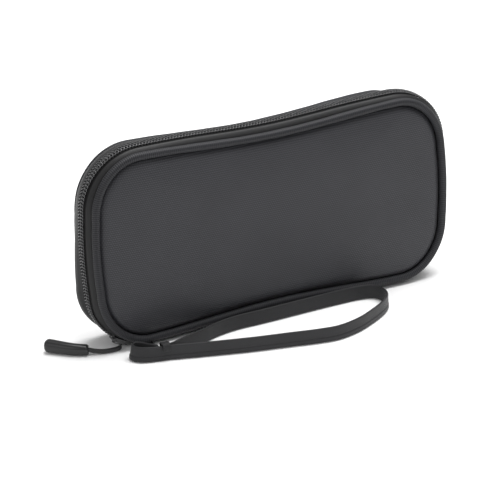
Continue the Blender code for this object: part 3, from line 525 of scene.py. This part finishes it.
# --------------------------------------------------------------------- the panels
def panel_look(name, line, inset, y_rim, crown, thick, dive, steps=256, out=1.0):
    """A padded panel: crowned face whose edge dives into the crease at the piping."""
    us = [ROUND * i / steps for i in range(steps)]
    edge = []
    for u in us:
        x, z = edge_point(line, u)
        nx, nz = edge_normal(line, u)
        edge.append((x - nx * inset, z - nz * inset, nx, nz))
    toward = -1.0 if crown < 0 else 1.0
    dists = [0.0, 0.25, 0.6, 1.0, 1.5, 2.1, 2.9, 4.0, 5.5]
    ks = [0.95, 0.88, 0.8, 0.7, 0.58, 0.45, 0.31, 0.17]
    cx = line["dx"]
    rows = []

    def crown_at(x, z, u_edge):
        ex, ez = u_edge
        size = math.hypot(ex - cx, ez - CASE_Z)
        k = math.hypot(x - cx, z - CASE_Z) / size if size else 0.0
        return y_rim + crown * (1 - min(1.0, k) ** CROWN_POWER)

    for d in dists:
        row = []
        for ex, ez, nx, nz in edge:
            x, z = ex - nx * d, ez - nz * d
            sink = dive * math.exp(-(d / 1.9) ** 1.5)
            row.append((x, crown_at(x, z, (ex, ez)) - toward * sink, z))
        rows.append(row)
    for k in ks:
        row = []
        for ex, ez, nx, nz in edge:
            lx, lz = ex - nx * dists[-1], ez - nz * dists[-1]
            x, z = cx + (lx - cx) * k, CASE_Z + (lz - CASE_Z) * k
            row.append((x, crown_at(x, z, (ex, ez)), z))
        rows.append(row)
    back = []
    for k in (0.3, 0.7, 0.93, 0.985):
        back.append([(cx + (ex - cx) * k, y_rim + crown * (1 - k ** CROWN_POWER) - toward * thick,
                      CASE_Z + (ez - CASE_Z) * k) for ex, ez, nx, nz in edge])
    verts, faces = [], []
    for row in rows:
        verts += row
    for row in reversed(back):
        verts += row
    n = len(us)
    total = len(rows) + len(back)
    order = list(range(len(rows)))
    for i in range(len(rows) - 1):
        for j in range(n):
            k = (j + 1) % n
            faces.append((i * n + j, (i + 1) * n + j, (i + 1) * n + k, i * n + k))
    first_back = len(rows) * n
    for j in range(n):
        k = (j + 1) % n
        faces.append((j, k, first_back + k, first_back + j))
    for i in range(len(back) - 1):
        for j in range(n):
            k = (j + 1) % n
            a = first_back + i * n
            faces.append((a + j, a + k, a + n + k, a + n + j))
    centre = len(verts)
    verts.append((cx, y_rim + crown, CASE_Z))
    last = (len(rows) - 1) * n
    for j in range(n):
        faces.append((last + j, centre, last + (j + 1) % n))
    centre_b = len(verts)
    verts.append((cx, y_rim + crown - toward * thick, CASE_Z))
    last_b = first_back + (len(back) - 1) * n
    for j in range(n):
        faces.append((last_b + j, last_b + (j + 1) % n, centre_b))
    uvs = [(verts[i][0], verts[i][2]) for f in faces for i in f]
    return outward(make(name, verts, faces, uvs))


front_cover = add(panel_look("front_cover", FRONT_LINE, PANEL_INSET - 0.2, FRONT_Y - 1.0, -FRONT_CROWN, PANEL_T, 2.3),
                  "front_half", M_PANEL, "panel_fabric", "front_panel")
back_cover = add(panel_look("back_cover", BACK_LINE, PANEL_INSET - 0.2, BACK_Y + 1.0, BACK_CROWN, PANEL_T, 2.3),
                 "back_half", M_PANEL, "panel_fabric", "back_panel")
front_inside = add(panel_look("front_inside", FRONT_LINE, PANEL_INSET + 1.2, FRONT_Y - 1.0 + PANEL_T + GAP,
                              -FRONT_CROWN, LINING_T, 0.0, steps=128),
                   "front_half", M_LINING, "lining_fabric", "front_lining")
back_inside = add(panel_look("back_inside", BACK_LINE, PANEL_INSET + 1.2, BACK_Y + 1.0 - PANEL_T - GAP,
                             BACK_CROWN, LINING_T, 0.0, steps=128),
                  "back_half", M_LINING, "lining_fabric", "back_lining")


# --------------------------------------------------------------------- the piping
def piping_look(name, line, y, toward, steps=768, sides=24):
    """Tape wrapped on a cord, its two edges sewn down as a flange under the cord."""
    rings = []
    pts = [edge_point(line, ROUND * i / steps) for i in range(steps)]
    s = run_lengths([(p[0], p[1]) for p in pts] + [(pts[0][0], pts[0][1])])
    for i, (x, z) in enumerate(pts):
        nx, nz = edge_normal(line, ROUND * i / steps)
        wob = 0.05 * math.sin(s[i] / 7.3) + 0.04 * math.sin(s[i] / 3.1 + 1.0)
        ring = []
        for k in range(sides):
            a = 2 * math.pi * k / sides
            r = PIPE_R + wob - 0.05
            ring.append((x + nx * math.cos(a) * r, y + math.sin(a) * r, z + nz * math.cos(a) * r))
        rings.append(ring)
    tape = []
    for i, (x, z) in enumerate(pts):
        if i % 3:
            continue
        nx, nz = edge_normal(line, ROUND * i / steps)
        ripple = 0.12 * math.sin(s[i] / 2.3)
        inner = y - toward * 2.72
        tape.append([(x + nx * o, inner - toward * t, z + nz * o) for o, t in (
            (-3.9, -0.9), (-3.7 + 0.3 * ripple, 0.05), (-2.6, 0.3 + ripple * 0.3), (-0.6, 0.34), (0.9, 0.25),
            (1.3, 0.0), (0.9, -0.2), (-0.6, -0.22), (-2.6, -0.25), (-3.6, -0.95))])
    return many(name, [(rings, True), (tape, True)])


front_pipe = add(piping_look("front_pipe", FRONT_LINE, FRONT_Y, -1), "front_half", M_PIPE, "piping_fabric",
                 "front_piping")
back_pipe = add(piping_look("back_pipe", BACK_LINE, BACK_Y, 1), "back_half", M_PIPE, "piping_fabric",
                "back_piping")

# ------------------------------------------------------------ gussets, tapes, coils
CHAIN_U0 = corner_u(CHAIN_END_A)
CHAIN_U1 = ROUND - CHAIN_U0


def steps_between(u0, u1, step_mm):
    s0, s1 = zip_s(u0), zip_s(u1)
    count = max(2, int(math.ceil((s1 - s0) / step_mm)))
    return [zip_u(s0 + (s1 - s0) * k / count) for k in range(count + 1)]


def bulge(u, y):
    """How far the back half's side wall stands out at station u."""
    if not 5.1 < y < 19.7:
        return 0.0
    low_left = math.exp(-((u - corner_u(74.0)) / 3.6) ** 2)
    side = math.exp(-((u - (N_HALF + N_CORNER + N_SIDE + 3.0)) / 6.0) ** 2)
    return (BULGE * low_left + 1.2 * side) * math.sin(math.pi * (y - 5.1) / 14.6)


def strip_rings(us, outer, thick, step=0.7):
    outer = dense(outer, step)
    rings = []
    for u in us:
        top = [on_skin(u, p[0], p[1], p[2] + bulge(u, p[0])) for p in outer]
        low = [on_skin(u, p[0], p[1], p[2] + bulge(u, p[0]) - thick) for p in reversed(outer)]
        rings.append(top + low)
    return rings


def strip_look(name, u0, u1, outer, thick, step_mm=1.6, sharp=50):
    us = steps_between(u0, u1, step_mm)
    return skin(name, strip_rings(us, outer, thick), [zip_s(u) for u in us], sharp=sharp)


front_side = add(strip_look("front_side", CHAIN_U0, CHAIN_U1, [
    (-5.0, 0.80, -0.75), (-4.95, 0.81, -0.3), (-5.15, 0.82, -0.02), (-5.5, 0.78, 0.1), (-6.0, 0.69, 0.0),
    (-6.5, 0.6, 0.0), (-7.0, 0.46, -0.1), (-7.5, 0.36, -0.5)], 1.0),
    "front_half", M_GUSSET, "gusset_fabric", "front_gusset")
back_side = add(strip_look("back_side", CHAIN_U0, CHAIN_U1, [
    (5.0, 0.88, -0.75), (4.95, 0.89, -0.3), (5.15, 0.9, -0.02), (5.5, 0.89, 0.1), (6.5, 0.84, 0.0),
    (8.0, 0.77, 0.0), (12.0, 0.54, 0.0), (15.6, 0.30, 0.0), (16.6, 0.22, -0.1), (17.0, 0.18, -0.5)], 1.0),
    "back_half", M_GUSSET, "gusset_fabric", "back_gusset")
tape_f = add(strip_look("tape_front", CHAIN_U0, CHAIN_U1, [(-0.7, 1.0, -0.9), (-4.9, 1.0, -1.6)], 0.6),
             "front_half", M_TAPE, "zip_tape", "zipper_tape_front")
tape_b = add(strip_look("tape_back", CHAIN_U0, CHAIN_U1, [(0.7, 1.0, -0.9), (4.9, 1.0, -1.6)], 0.6),
             "back_half", M_TAPE, "zip_tape", "zipper_tape_back")

TOOTH, WIRE = 2.0, 0.36


def coil_path(u0, u1, side, phase):
    """Flattened helix of the nylon coil on one side of the chain."""
    s0, s1 = zip_s(u0), zip_s(u1)
    turns = int((s1 - s0) / TOOTH)
    per = 10
    path = []
    for i in range(turns * per + 1):
        f = 2 * math.pi * i / per + phase
        s = s0 + 0.4 + (s1 - s0 - 0.8) * i / (turns * per)
        c, w = math.cos(f), math.sin(f)
        y = side * (1.5 - 1.5 * w)
        n = -0.05 + 0.56 * c
        s += 0.55 * w * (1 if c > 0 else -1) * side
        path.append(on_skin(zip_u(s), y, 1.0, n))
    return path


def coil_rings(u0, u1, side, phase, sides=6):
    path = coil_path(u0, u1, side, phase)
    return tube_rings(path, WIRE, sides)


coil_f = add(skin("coil_front", coil_rings(CHAIN_U0, CHAIN_U1, -1, 0.0)), "front_half", M_COIL_PAINTED_GLINT, "zip_coil",
             "zipper_coil_front")
coil_b = add(skin("coil_back", coil_rings(CHAIN_U0, CHAIN_U1, 1, math.pi)), "back_half", M_COIL_PAINTED_GLINT, "zip_coil",
             "zipper_coil_back")

# ------------------------------------------------------------- spine and zip tails
SPINE_U = CHAIN_U0 - 0.05


def spine_ring(u):
    away = abs(((u + ROUND / 2) % ROUND) - ROUND / 2)
    rise = max(0.0, min(1.0, (away - corner_u(2.0)) / (corner_u(13.0) - corner_u(2.0))))
    outer = [(-6.9, 0.48, 0.0), (-5.1, 0.84, -0.2 * rise), (-4.7, 0.88, -1.1 * rise),
             (-3.4, 1.0, -4.4 * rise), (4.6, 1.0, -4.4 * rise), (5.6, 1.0, -0.9 * rise),
             (12.5, 1.0 - 0.42 * rise, 0.0), (14.6, 0.7 - 0.28 * rise, 0.0), (16.35, 0.34 - 0.08 * rise, 0.0)]
    outer = dense(outer, 1.0)
    inner = [(y, m, n - 1.2) for y, m, n in reversed(outer)]
    return outer + inner


def spine_look():
    us = [zip_u(s) for s in np.linspace(zip_s(-SPINE_U), zip_s(SPINE_U), 181)]
    counts = 56
    rings = []
    for u in us:
        prof = spine_ring(u)
        half = len(prof) // 2
        top = np.array(prof[:half])
        at = run_lengths(top)
        even = np.linspace(0, at[-1], counts // 2)
        outer = [tuple(np.interp(e, at, top[:, c]) for c in range(3)) for e in even]
        ring = outer + [(y, m, n - 1.2) for y, m, n in reversed(outer)]
        ring = [on_skin(u % ROUND, y, m, n + (bulge(u, y) if u > 0 else 0.0)) for y, m, n in ring]
        rings.append([(x, y, max(z, 0.02)) for x, y, z in ring])
    return skin("spine_cover", rings, [zip_s(u) for u in us], sharp=55)


spine = add(spine_look(), "root", M_GUSSET, "gusset_fabric", "spine_gusset")

TAIL_U, STOP_U = corner_u(TAIL_A), corner_u(PARK_A - SLIDER_HALF_A - 0.8)


def tail_look(name, mirror, node):
    def at(u):
        return ROUND - u if mirror else u
    u0, u1 = sorted((at(CHAIN_U0 - 0.05), at(STOP_U)))
    parts = [(coil_rings(u0, u1, -1, 0.0), False), (coil_rings(u0, u1, 1, math.pi), False)]
    t0, t1 = sorted((at(CHAIN_U0 - 0.05), at(TAIL_U)))
    us = steps_between(t0, t1, 1.0)
    parts.append((strip_rings(us, [(-4.0, 1.0, -1.2), (4.0, 1.0, -1.2)], 0.8), False))
    v0, v1 = sorted((at(STOP_U), at(TAIL_U)))
    us = steps_between(v0 + 0.02, v1 - 0.02, 0.5)
    rings = []
    for i, u in enumerate(us):
        t = i / (len(us) - 1)
        puff = (1 - abs(2 * t - 1) ** 4) ** 0.5 if 0 < t < 1 else 0.35
        ring = []
        for k in range(16):
            a = 2 * math.pi * k / 16
            c, w = math.cos(a), math.sin(a)
            ring.append(on_skin(u, math.copysign(abs(c) ** 0.5, c) * 3.3 * (0.7 + 0.3 * puff), 1.0,
                                -0.6 + math.copysign(abs(w) ** 0.5, w) * 1.45 * puff))
        rings.append(ring)
    parts.append((rings, False))
    return add(many(name, parts), "root", M_COIL_PAINTED_GLINT, "zip_coil", node)


tail_look("zip_tail_left", False, "zipper_end_left")
tail_look("zip_tail_right", True, "zipper_end_right")

# ------------------------------------------------------------------ slider and pull
wear_of(NODES["slider_body"], M_SLIDER)
soft_edge = NODES["slider_body"].modifiers.new("edges", "BEVEL")
soft_edge.width = 0.18 * MM
soft_edge.segments = 2
soft_edge.limit_method = "ANGLE"

PULL_ROUTE = [(-106.0, -4.55, 1.85), (-106.5, -5.5, 1.7), (-107.8, -6.4, 1.65),
              (-112.0, -7.0, 1.7), (-118.0, -6.2, 1.9), (-122.6, -4.6, 2.6), (-126.3, -3.1, 3.6),
              (-131.0, -0.4, 3.9), (-136.0, 3.6, 4.1)]
GRIP_ROUTE = [(-126.3, -3.1, 3.7), (-131.0, -0.4, 3.9), (-136.0, 3.6, 4.1),
              (-140.2, 8.0, 4.3), (-144.0, 12.2, 4.45), (-147.2, 15.6, 4.5)]
pull_path = smooth_run(PULL_ROUTE, 6)
pull_rad = []
for p in pull_path:
    t = max(0.0, min(1.0, (-p.y - 4.5) / 1.3)) if p.x > -107.0 else 1.0
    pull_rad.append(0.75 + (PULL_CORD_R - 0.77) * t * t * (3 - 2 * t))
pull = add(skin("pull_string", tube_rings(pull_path, pull_rad, 12)), "pull", M_CORD, "pull_cord_fabric",
           "pull_cord")


def grip_look():
    run = smooth_run(GRIP_ROUTE, 14)
    pts = [tuple(p) for p in run]
    total = len(run) - 1
    rings = []
    for i, p in enumerate(run):
        way = (run[min(i + 1, total)] - run[max(i - 1, 0)]).normalized()
        side = Vector((-way.y, way.x, 0)).normalized()
        s = i / total
        half_w, half_h = 3.1 + 1.0 * s, 3.3 + 0.8 * s
        tip = max(0.0, (s - 0.86) / 0.14)
        close = math.sqrt(max(0.0, 1 - tip ** 2.4)) * 0.94 + 0.06
        start = max(0.0, (0.03 - s) / 0.03)
        close *= 1 - 0.18 * start
        ring = []
        for k in range(28):
            a = 2 * math.pi * k / 28
            c, w = math.cos(a), math.sin(a)
            cc = math.copysign(abs(c) ** 0.8, c)
            ww = math.copysign(abs(w) ** 0.85, w)
            ridge = 0.22 * math.exp(-((a - math.pi / 2) / 0.16) ** 2) * (1 - tip)
            q = p + side * (cc * half_w * close) + Vector((0, 0, (ww * half_h + ridge) * close))
            ring.append((q.x, q.y, max(0.35, q.z)))
        rings.append(ring)
    return skin("pull_handle", rings)


grip = add(grip_look(), "pull", M_GRIP, "grip_rubber", "pull_grip")

# ------------------------------------------------------------------- wrist strap
STRAP_ROUTE = [(-90.3, -32.0), (-86.4, -32.8), (-82.0, -31.9), (-77.9, -30.4), (-68.2, -27.2),
               (-58.0, -24.0), (-50.0, -21.1), (-42.3, -18.9), (-31.0, -17.4), (-15.0, -17.6),
               (12.0, -17.0), (34.0, -16.6), (52.0, -17.2), (61.0, -20.4), (64.2, -27.5),
               (62.6, -36.4), (55.6, -44.4), (44.0, -52.2), (30.0, -59.4), (14.4, -63.2),
               (0.0, -61.2), (-16.0, -57.0), (-40.6, -50.6), (-69.6, -41.3), (-86.7, -35.3),
               (-92.2, -33.9), (-98.4, -32.2), (-103.6, -29.4), (-106.2, -25.2), (-105.6, -21.2),
               (-102.4, -19.8), (-99.2, -22.2), (-96.4, -26.2), (-94.0, -29.4), (-92.0, -31.4)]


def strap_frames(per=12):
    run = smooth_run([(x, y, 0.0) for x, y in STRAP_ROUTE], per)
    length = run_lengths([tuple(p) for p in run])
    total = length[-1]
    out = []
    for i, p in enumerate(run):
        way = (run[min(i + 1, len(run) - 1)] - run[max(i - 1, 0)]).normalized()
        side = Vector((-way.y, way.x, 0.0))
        s, rest = length[i], total - length[i]
        stand = 1.0 - 0.14 * math.exp(-((rest - 24.0) / 9.0) ** 2)
        low = 0.35
        angle = math.radians(90) * stand
        upv = Vector((0, 0, 1))
        wide = side * math.cos(angle) - upv * math.sin(angle)
        thick = side * math.sin(angle) + upv * math.cos(angle)
        lift = low + STRAP_W / 2 * math.sin(angle) + STRAP_T / 2 * math.cos(angle)
        out.append((Vector((p.x, p.y, lift)), wide, thick, float(s)))
    return out, float(total)


strap_run, strap_len = strap_frames()


def strap_profile():
    """Folded strap: rounded edges and the step of the lapped fold a third from one edge."""
    hw, ht = STRAP_W / 2, STRAP_T / 2
    pts = []
    n = 26
    for i in range(n + 1):                       # outer face, from +hw to -hw
        a = hw - 2 * hw * i / n
        edge = min(1.0, (hw - abs(a)) / 0.9)
        t = ht * math.sqrt(max(0.0, 1 - (1 - edge) ** 2)) * 0.82
        lap = 0.22 / (1 + math.exp((a - hw * 0.36) * -9.0))     # the lapped fold near one edge
        seam = 0.24 * math.exp(-((a - hw * 0.30) / 0.28) ** 2)
        pts.append((a, t + lap - seam - 0.04))
    for i in range(1, n):
        a = -hw + 2 * hw * i / n
        edge = min(1.0, (hw - abs(a)) / 0.9)
        t = ht * math.sqrt(max(0.0, 1 - (1 - edge) ** 2)) * 0.88
        pts.append((a, -t))
    return pts


def strap_look():
    prof = strap_profile()
    rings, along = [], []
    for mid, wide, thick, s in strap_run:
        rings.append([tuple(mid + wide * a + thick * b) for a, b in prof])
        along.append(s)
    across = list(run_lengths(prof + [prof[0]]))
    return skin("strap", rings, along, across)


strap = add(strap_look(), "root", M_STRAP, "strap_webbing", "wrist_strap")


def tack_look():
    """The ribbon from the spine to the pinch, folded over the top of the strap."""
    path = [(-7.3, 0.78), (-12.0, 0.75), (-18.0, 0.78), (-24.0, 0.76), (-28.4, 0.8), (-30.0, 1.2), (-30.75, 2.4),
            (-30.8, 5.0), (-30.75, 8.4), (-30.85, 10.2), (-31.7, 11.1), (-33.4, 11.3), (-35.2, 11.15), (-36.1, 10.3),
            (-36.35, 8.6), (-36.2, 6.8)]
    run = smooth_run([(-88.5, y, z) for y, z in path], 4)
    rings = []
    for i, p in enumerate(run):
        way = (run[min(i + 1, len(run) - 1)] - run[max(i - 1, 0)]).normalized()
        up_side = Vector((0.0, -way.z, way.y))
        half = 2.5 + 0.12 * math.sin(i * 1.9) + 0.1 * math.sin(i * 0.83 + 1.0)
        ring = []
        for k in range(20):
            a = 2 * math.pi * k / 20
            c, w = math.cos(a), math.sin(a)
            ring.append(tuple(p + Vector((math.copysign(abs(c) ** 0.35, c) * half, 0, 0))
                              + up_side * (math.copysign(abs(w) ** 0.6, w) * 0.4)))
        rings.append(ring)
    return skin("strap_tack", rings)


tab = add(tack_look(), "root", M_TACK, "strap_webbing", "strap_anchor_tab")


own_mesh(strap)
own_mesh(tab)

# ------------------------------------------------------------ carried-over tools
M_SHELL = plastic("shell_orange", (0.72, 0.25, 0.02), rough=0.5, grain=0.02, scale=2600.0, edge=0.35)
M_BLACK = plastic("shell_black", (0.03, 0.03, 0.031), rough=0.55, grain=0.02, scale=2600.0, edge=0.3)
M_TIP = plastic("tip_black", (0.02, 0.02, 0.021), rough=0.35, grain=0.006, edge=0.3)
M_RED = plastic("button_red", (0.45, 0.03, 0.02), rough=0.5, grain=0.02, edge=0.3)
M_LED_R = plastic("led_red", (0.6, 0.04, 0.03), rough=0.12, grain=0.002, coat=0.5)
M_LED_G = plastic("led_green", (0.05, 0.45, 0.08), rough=0.12, grain=0.002, coat=0.5)
M_CONE = plastic("cone_black", (0.05, 0.05, 0.05), rough=0.6, grain=0.03)
M_STEEL = plastic("screw_steel", (0.55, 0.55, 0.57), rough=0.3, grain=0.006, metal=1.0)
M_CAN = plastic("battery_can", (0.32, 0.32, 0.34), rough=0.35, grain=0.008, metal=0.9)
M_PCB = plastic("pcb_green", (0.02, 0.16, 0.05), rough=0.4, grain=0.02, scale=700.0)
for names, mat, slot in (
        (("probe_shell_front", "toner_shell_front"), M_SHELL, "tool_plastic"),
        (("probe_shell_back", "toner_shell_back", "probe_volume_wheel", "probe_battery_cover",
          "toner_battery_cover", "toner_slide_switch", "toner_gland"), M_BLACK, "tool_black"),
        (("probe_tip",), M_TIP, "probe_tip_plastic"), (("probe_button",), M_RED, "button_rubber"),
        (("probe_led",), M_LED_R, "led_red"), (("toner_led",), M_LED_G, "led_green"),
        (("probe_speaker",), M_CONE, "speaker_cone"),
        (("probe_cover_screw", "toner_cover_screw"), M_STEEL, "screw_steel"),
        (("probe_battery", "toner_battery"), M_CAN, "battery_can"),
        (("probe_pcb", "toner_pcb"), M_PCB, "circuit_board"),
        ):
    for node in names:
        wear_of(NODES[node], mat)

# ------------------------------------------------------ mesh pocket and tool loops
POCKET = (-97.0, -38.0, 24.0, 62.0)


def net_y(x, z):
    """The pocket's cloth: sewn to the lining on three sides, standing off it between."""
    x0, x1, z0, z1 = POCKET
    k = min(1.0, math.hypot(x / 112.0, (z - CASE_Z) / 53.0))
    base = -7.6 - FRONT_CROWN * (1 - k ** CROWN_POWER)
    full = min(1.0, (x - x0) / 6.5, (x1 - x) / 6.5, (z - z0) / 6.8)
    full = max(0.0, full)
    full = full * full * (3 - 2 * full)
    return base + (-1.0 - base) * full


def net_look():
    x0, x1, z0, z1 = POCKET
    parts = []
    pitch = 2.7
    for way in (1, -1):
        low = (x0 - z1) if way > 0 else (x0 + z0)
        high = (x1 - z0) if way > 0 else (x1 + z1)
        c = low + pitch / 2
        row = 0
        while c < high:
            path = []
            z = z0
            while z <= z1 + 0.01:
                x = c + z if way > 0 else c - z
                if x0 <= x <= x1:
                    over = 0.17 * math.cos(2 * math.pi * (z - z0) / pitch + math.pi * row)
                    path.append((x, net_y(x, z) + over * way, z))
                z += pitch / 4
            if len(path) > 3:
                parts.append((tube_rings(path, 0.27, 6), False))
            c += pitch
            row += 1
    corner = [(x0, z1 + 1.2), (x0, z0 + 4), (x0 + 0.4, z0 + 1.2), (x0 + 1.2, z0 + 0.4), (x0 + 4, z0), (x1 - 4, z0),
              (x1 - 1.2, z0 + 0.4), (x1 - 0.4, z0 + 1.2), (x1, z0 + 4), (x1, z1 + 1.2)]
    hem = dense(corner, 1.2)
    rings = []
    for i, (x, z) in enumerate(hem):
        ax, az = hem[max(i - 1, 0)]
        bx, bz = hem[min(i + 1, len(hem) - 1)]
        size = math.hypot(bx - ax, bz - az)
        nx, nz = -(bz - az) / size, (bx - ax) / size
        y = net_y(min(max(x, x0), x1), min(max(z, z0), z1)) + 0.1
        rings.append([(x + nx * w, y + t, z + nz * w) for w, t in (
            (-1.9, -0.35), (1.9, -0.35), (2.05, 0.0), (1.9, 0.3), (1.2, 0.42), (0.9, 0.3), (-0.9, 0.3), (-1.2, 0.42),
            (-1.9, 0.3), (-2.05, 0.0))])
    parts.append((rings, False))
    return many("pocket_net", parts)


def binding_look():
    x0, x1, z0, z1 = POCKET
    path = []
    for x in np.linspace(x0, x1, 150):
        path.append((float(x), net_y(float(x), z1) + 0.2, z1 + 1.3 + 0.12 * math.sin(float(x) * 1.7)))
    rings = []
    for i, (x, y, z) in enumerate(path):
        rib = 0.08 * math.sin(x * 2 * math.pi / 1.5)
        rings.append([(x, y + (0.62 + rib) * math.copysign(abs(math.sin(a)) ** 0.7, math.sin(a)),
                       z + (2.0 + rib) * math.copysign(abs(math.cos(a)) ** 0.7, math.cos(a)))
                      for a in (2 * math.pi * k / 16 for k in range(16))])
    return skin("pocket_edge", rings)


def loop_look(name, x0, x1, z0, z1):
    """Ribbed elastic round a tool, its ends sewn to the back lining."""
    lo_y, hi_y, r = ITEM_FRONT - 0.35, ITEM_BACK + 0.35, 2.0
    lo_z, hi_z = z0 - 0.35, z1 + 0.35
    path = []
    for cy, cz, a0 in ((hi_y - r, hi_z - r, 0.0), (lo_y + r, hi_z - r, 0.5), (lo_y + r, lo_z + r, 1.0),
                       (hi_y - r, lo_z + r, 1.5)):
        for k in range(7):
            a = math.pi * (a0 + 0.5 * k / 6)
            path.append((cy + r * math.cos(a), cz + r * math.sin(a)))
    path.append(path[0])
    even = dense(path, 0.8)[:-1]
    count = int((x1 - x0) / 0.4)
    rings = []
    for i, (y, z) in enumerate(even):
        ay, az = even[i - 1]
        by, bz = even[(i + 1) % len(even)]
        size = math.hypot(by - ay, bz - az)
        ny, nz = (bz - az) / size, -(by - ay) / size
        if ny * (y - (lo_y + hi_y) / 2) + nz * (z - (lo_z + hi_z) / 2) < 0:
            ny, nz = -ny, -nz
        ring = [(x0 + 0.1, y + ny * 0.1, z + nz * 0.1)]
        for k in range(count + 1):
            x = x0 + (x1 - x0) * k / count
            rib = 0.55 + 0.16 * math.cos(2 * math.pi * (x - x0) / 2.0)
            if k in (0, count):
                rib = 0.35
            ring.append((x, y + ny * rib, z + nz * rib))
        ring.append((x1 - 0.1, y + ny * 0.1, z + nz * 0.1))
        rings.append(ring)
    sew = []
    for z in np.linspace(z0 + 6.0, z1 - 6.0, 24):
        sew.append([(x, y, float(z)) for x, y in ((x0 + 0.4, 16.0), (x1 - 0.4, 16.0), (x1 - 0.3, 17.0),
                                                  (x1 - 0.4, 17.7), (x0 + 0.4, 17.7), (x0 + 0.3, 17.0))])
    return many(name, [(rings, True), (sew, False)], sharp=60)


add(net_look(), "front_half", M_MESH, "mesh_fabric", "mesh_pocket")
add(binding_look(), "front_half", M_ELASTIC, "elastic", "pocket_binding")
add(loop_look("loop_probe_left", -4.0, 10.0, PROBE_Z - PROBE_HW, PROBE_Z + PROBE_HW), "back_half", M_ELASTIC,
    "elastic", "probe_loop_left")
add(loop_look("loop_probe_right", 56.0, 76.0, PROBE_Z - PROBE_HW, PROBE_Z + PROBE_HW), "back_half", M_ELASTIC,
    "elastic", "probe_loop_right")
add(loop_look("loop_toner", 10.0, 30.0, TONER[2], TONER[3]), "back_half", M_ELASTIC, "elastic", "toner_loop")

# ------------------------------------------------------------- floor and lighting
floor_mesh = bpy.data.meshes.new("floor")
R = 6.0
floor_mesh.from_pydata([(-R, -R, 0), (R, -R, 0), (R, R, 0), (-R, R, 0)], [], [(0, 1, 2, 3)])
floor = bpy.data.objects.new("floor", floor_mesh)
scene.collection.objects.link(floor)
ft = Tree("floor_white")
ft.link(ft.ramp(ft.noise(3.0), [(0.3, (0.93, 0.93, 0.93)), (0.7, (0.95, 0.95, 0.95))]), ft.shader.inputs["Base Color"])
ft.set(Roughness=0.7, Specular_IOR_Level=0.2)
floor.data.materials.append(ft.mat)

world = bpy.data.worlds.new("studio")
scene.world = world
world.use_nodes = True
world.node_tree.nodes["Background"].inputs[0].default_value = (1.0, 1.0, 1.0, 1.0)
world.node_tree.nodes["Background"].inputs[1].default_value = 0.45


def area_light(name, at, target, size, power, size_y=None):
    data = bpy.data.lights.new(name, "AREA")
    data.energy = power
    data.shape = "RECTANGLE"
    data.size = size
    data.size_y = size_y or size
    obj = bpy.data.objects.new(name, data)
    scene.collection.objects.link(obj)
    obj.location = at
    obj.rotation_mode = "QUATERNION"
    obj.rotation_quaternion = (Vector(target) - Vector(at)).to_track_quat("-Z", "Y")
    return obj


area_light("top_soft", (0.25, 0.0, 1.2), (0, 0, 0.03), 0.9, 22.0)
area_light("left_soft", (-1.3, -0.5, 0.8), (0, 0, 0.06), 0.9, 3.0)
area_light("front_soft", (0.1, -1.7, 1.5), (0, 0, 0.06), 0.6, 3.6)

scene.view_settings.view_transform = "Standard"
scene.view_settings.look = "None"
scene.view_settings.exposure = 0.0
scene.view_settings.gamma = 1.0
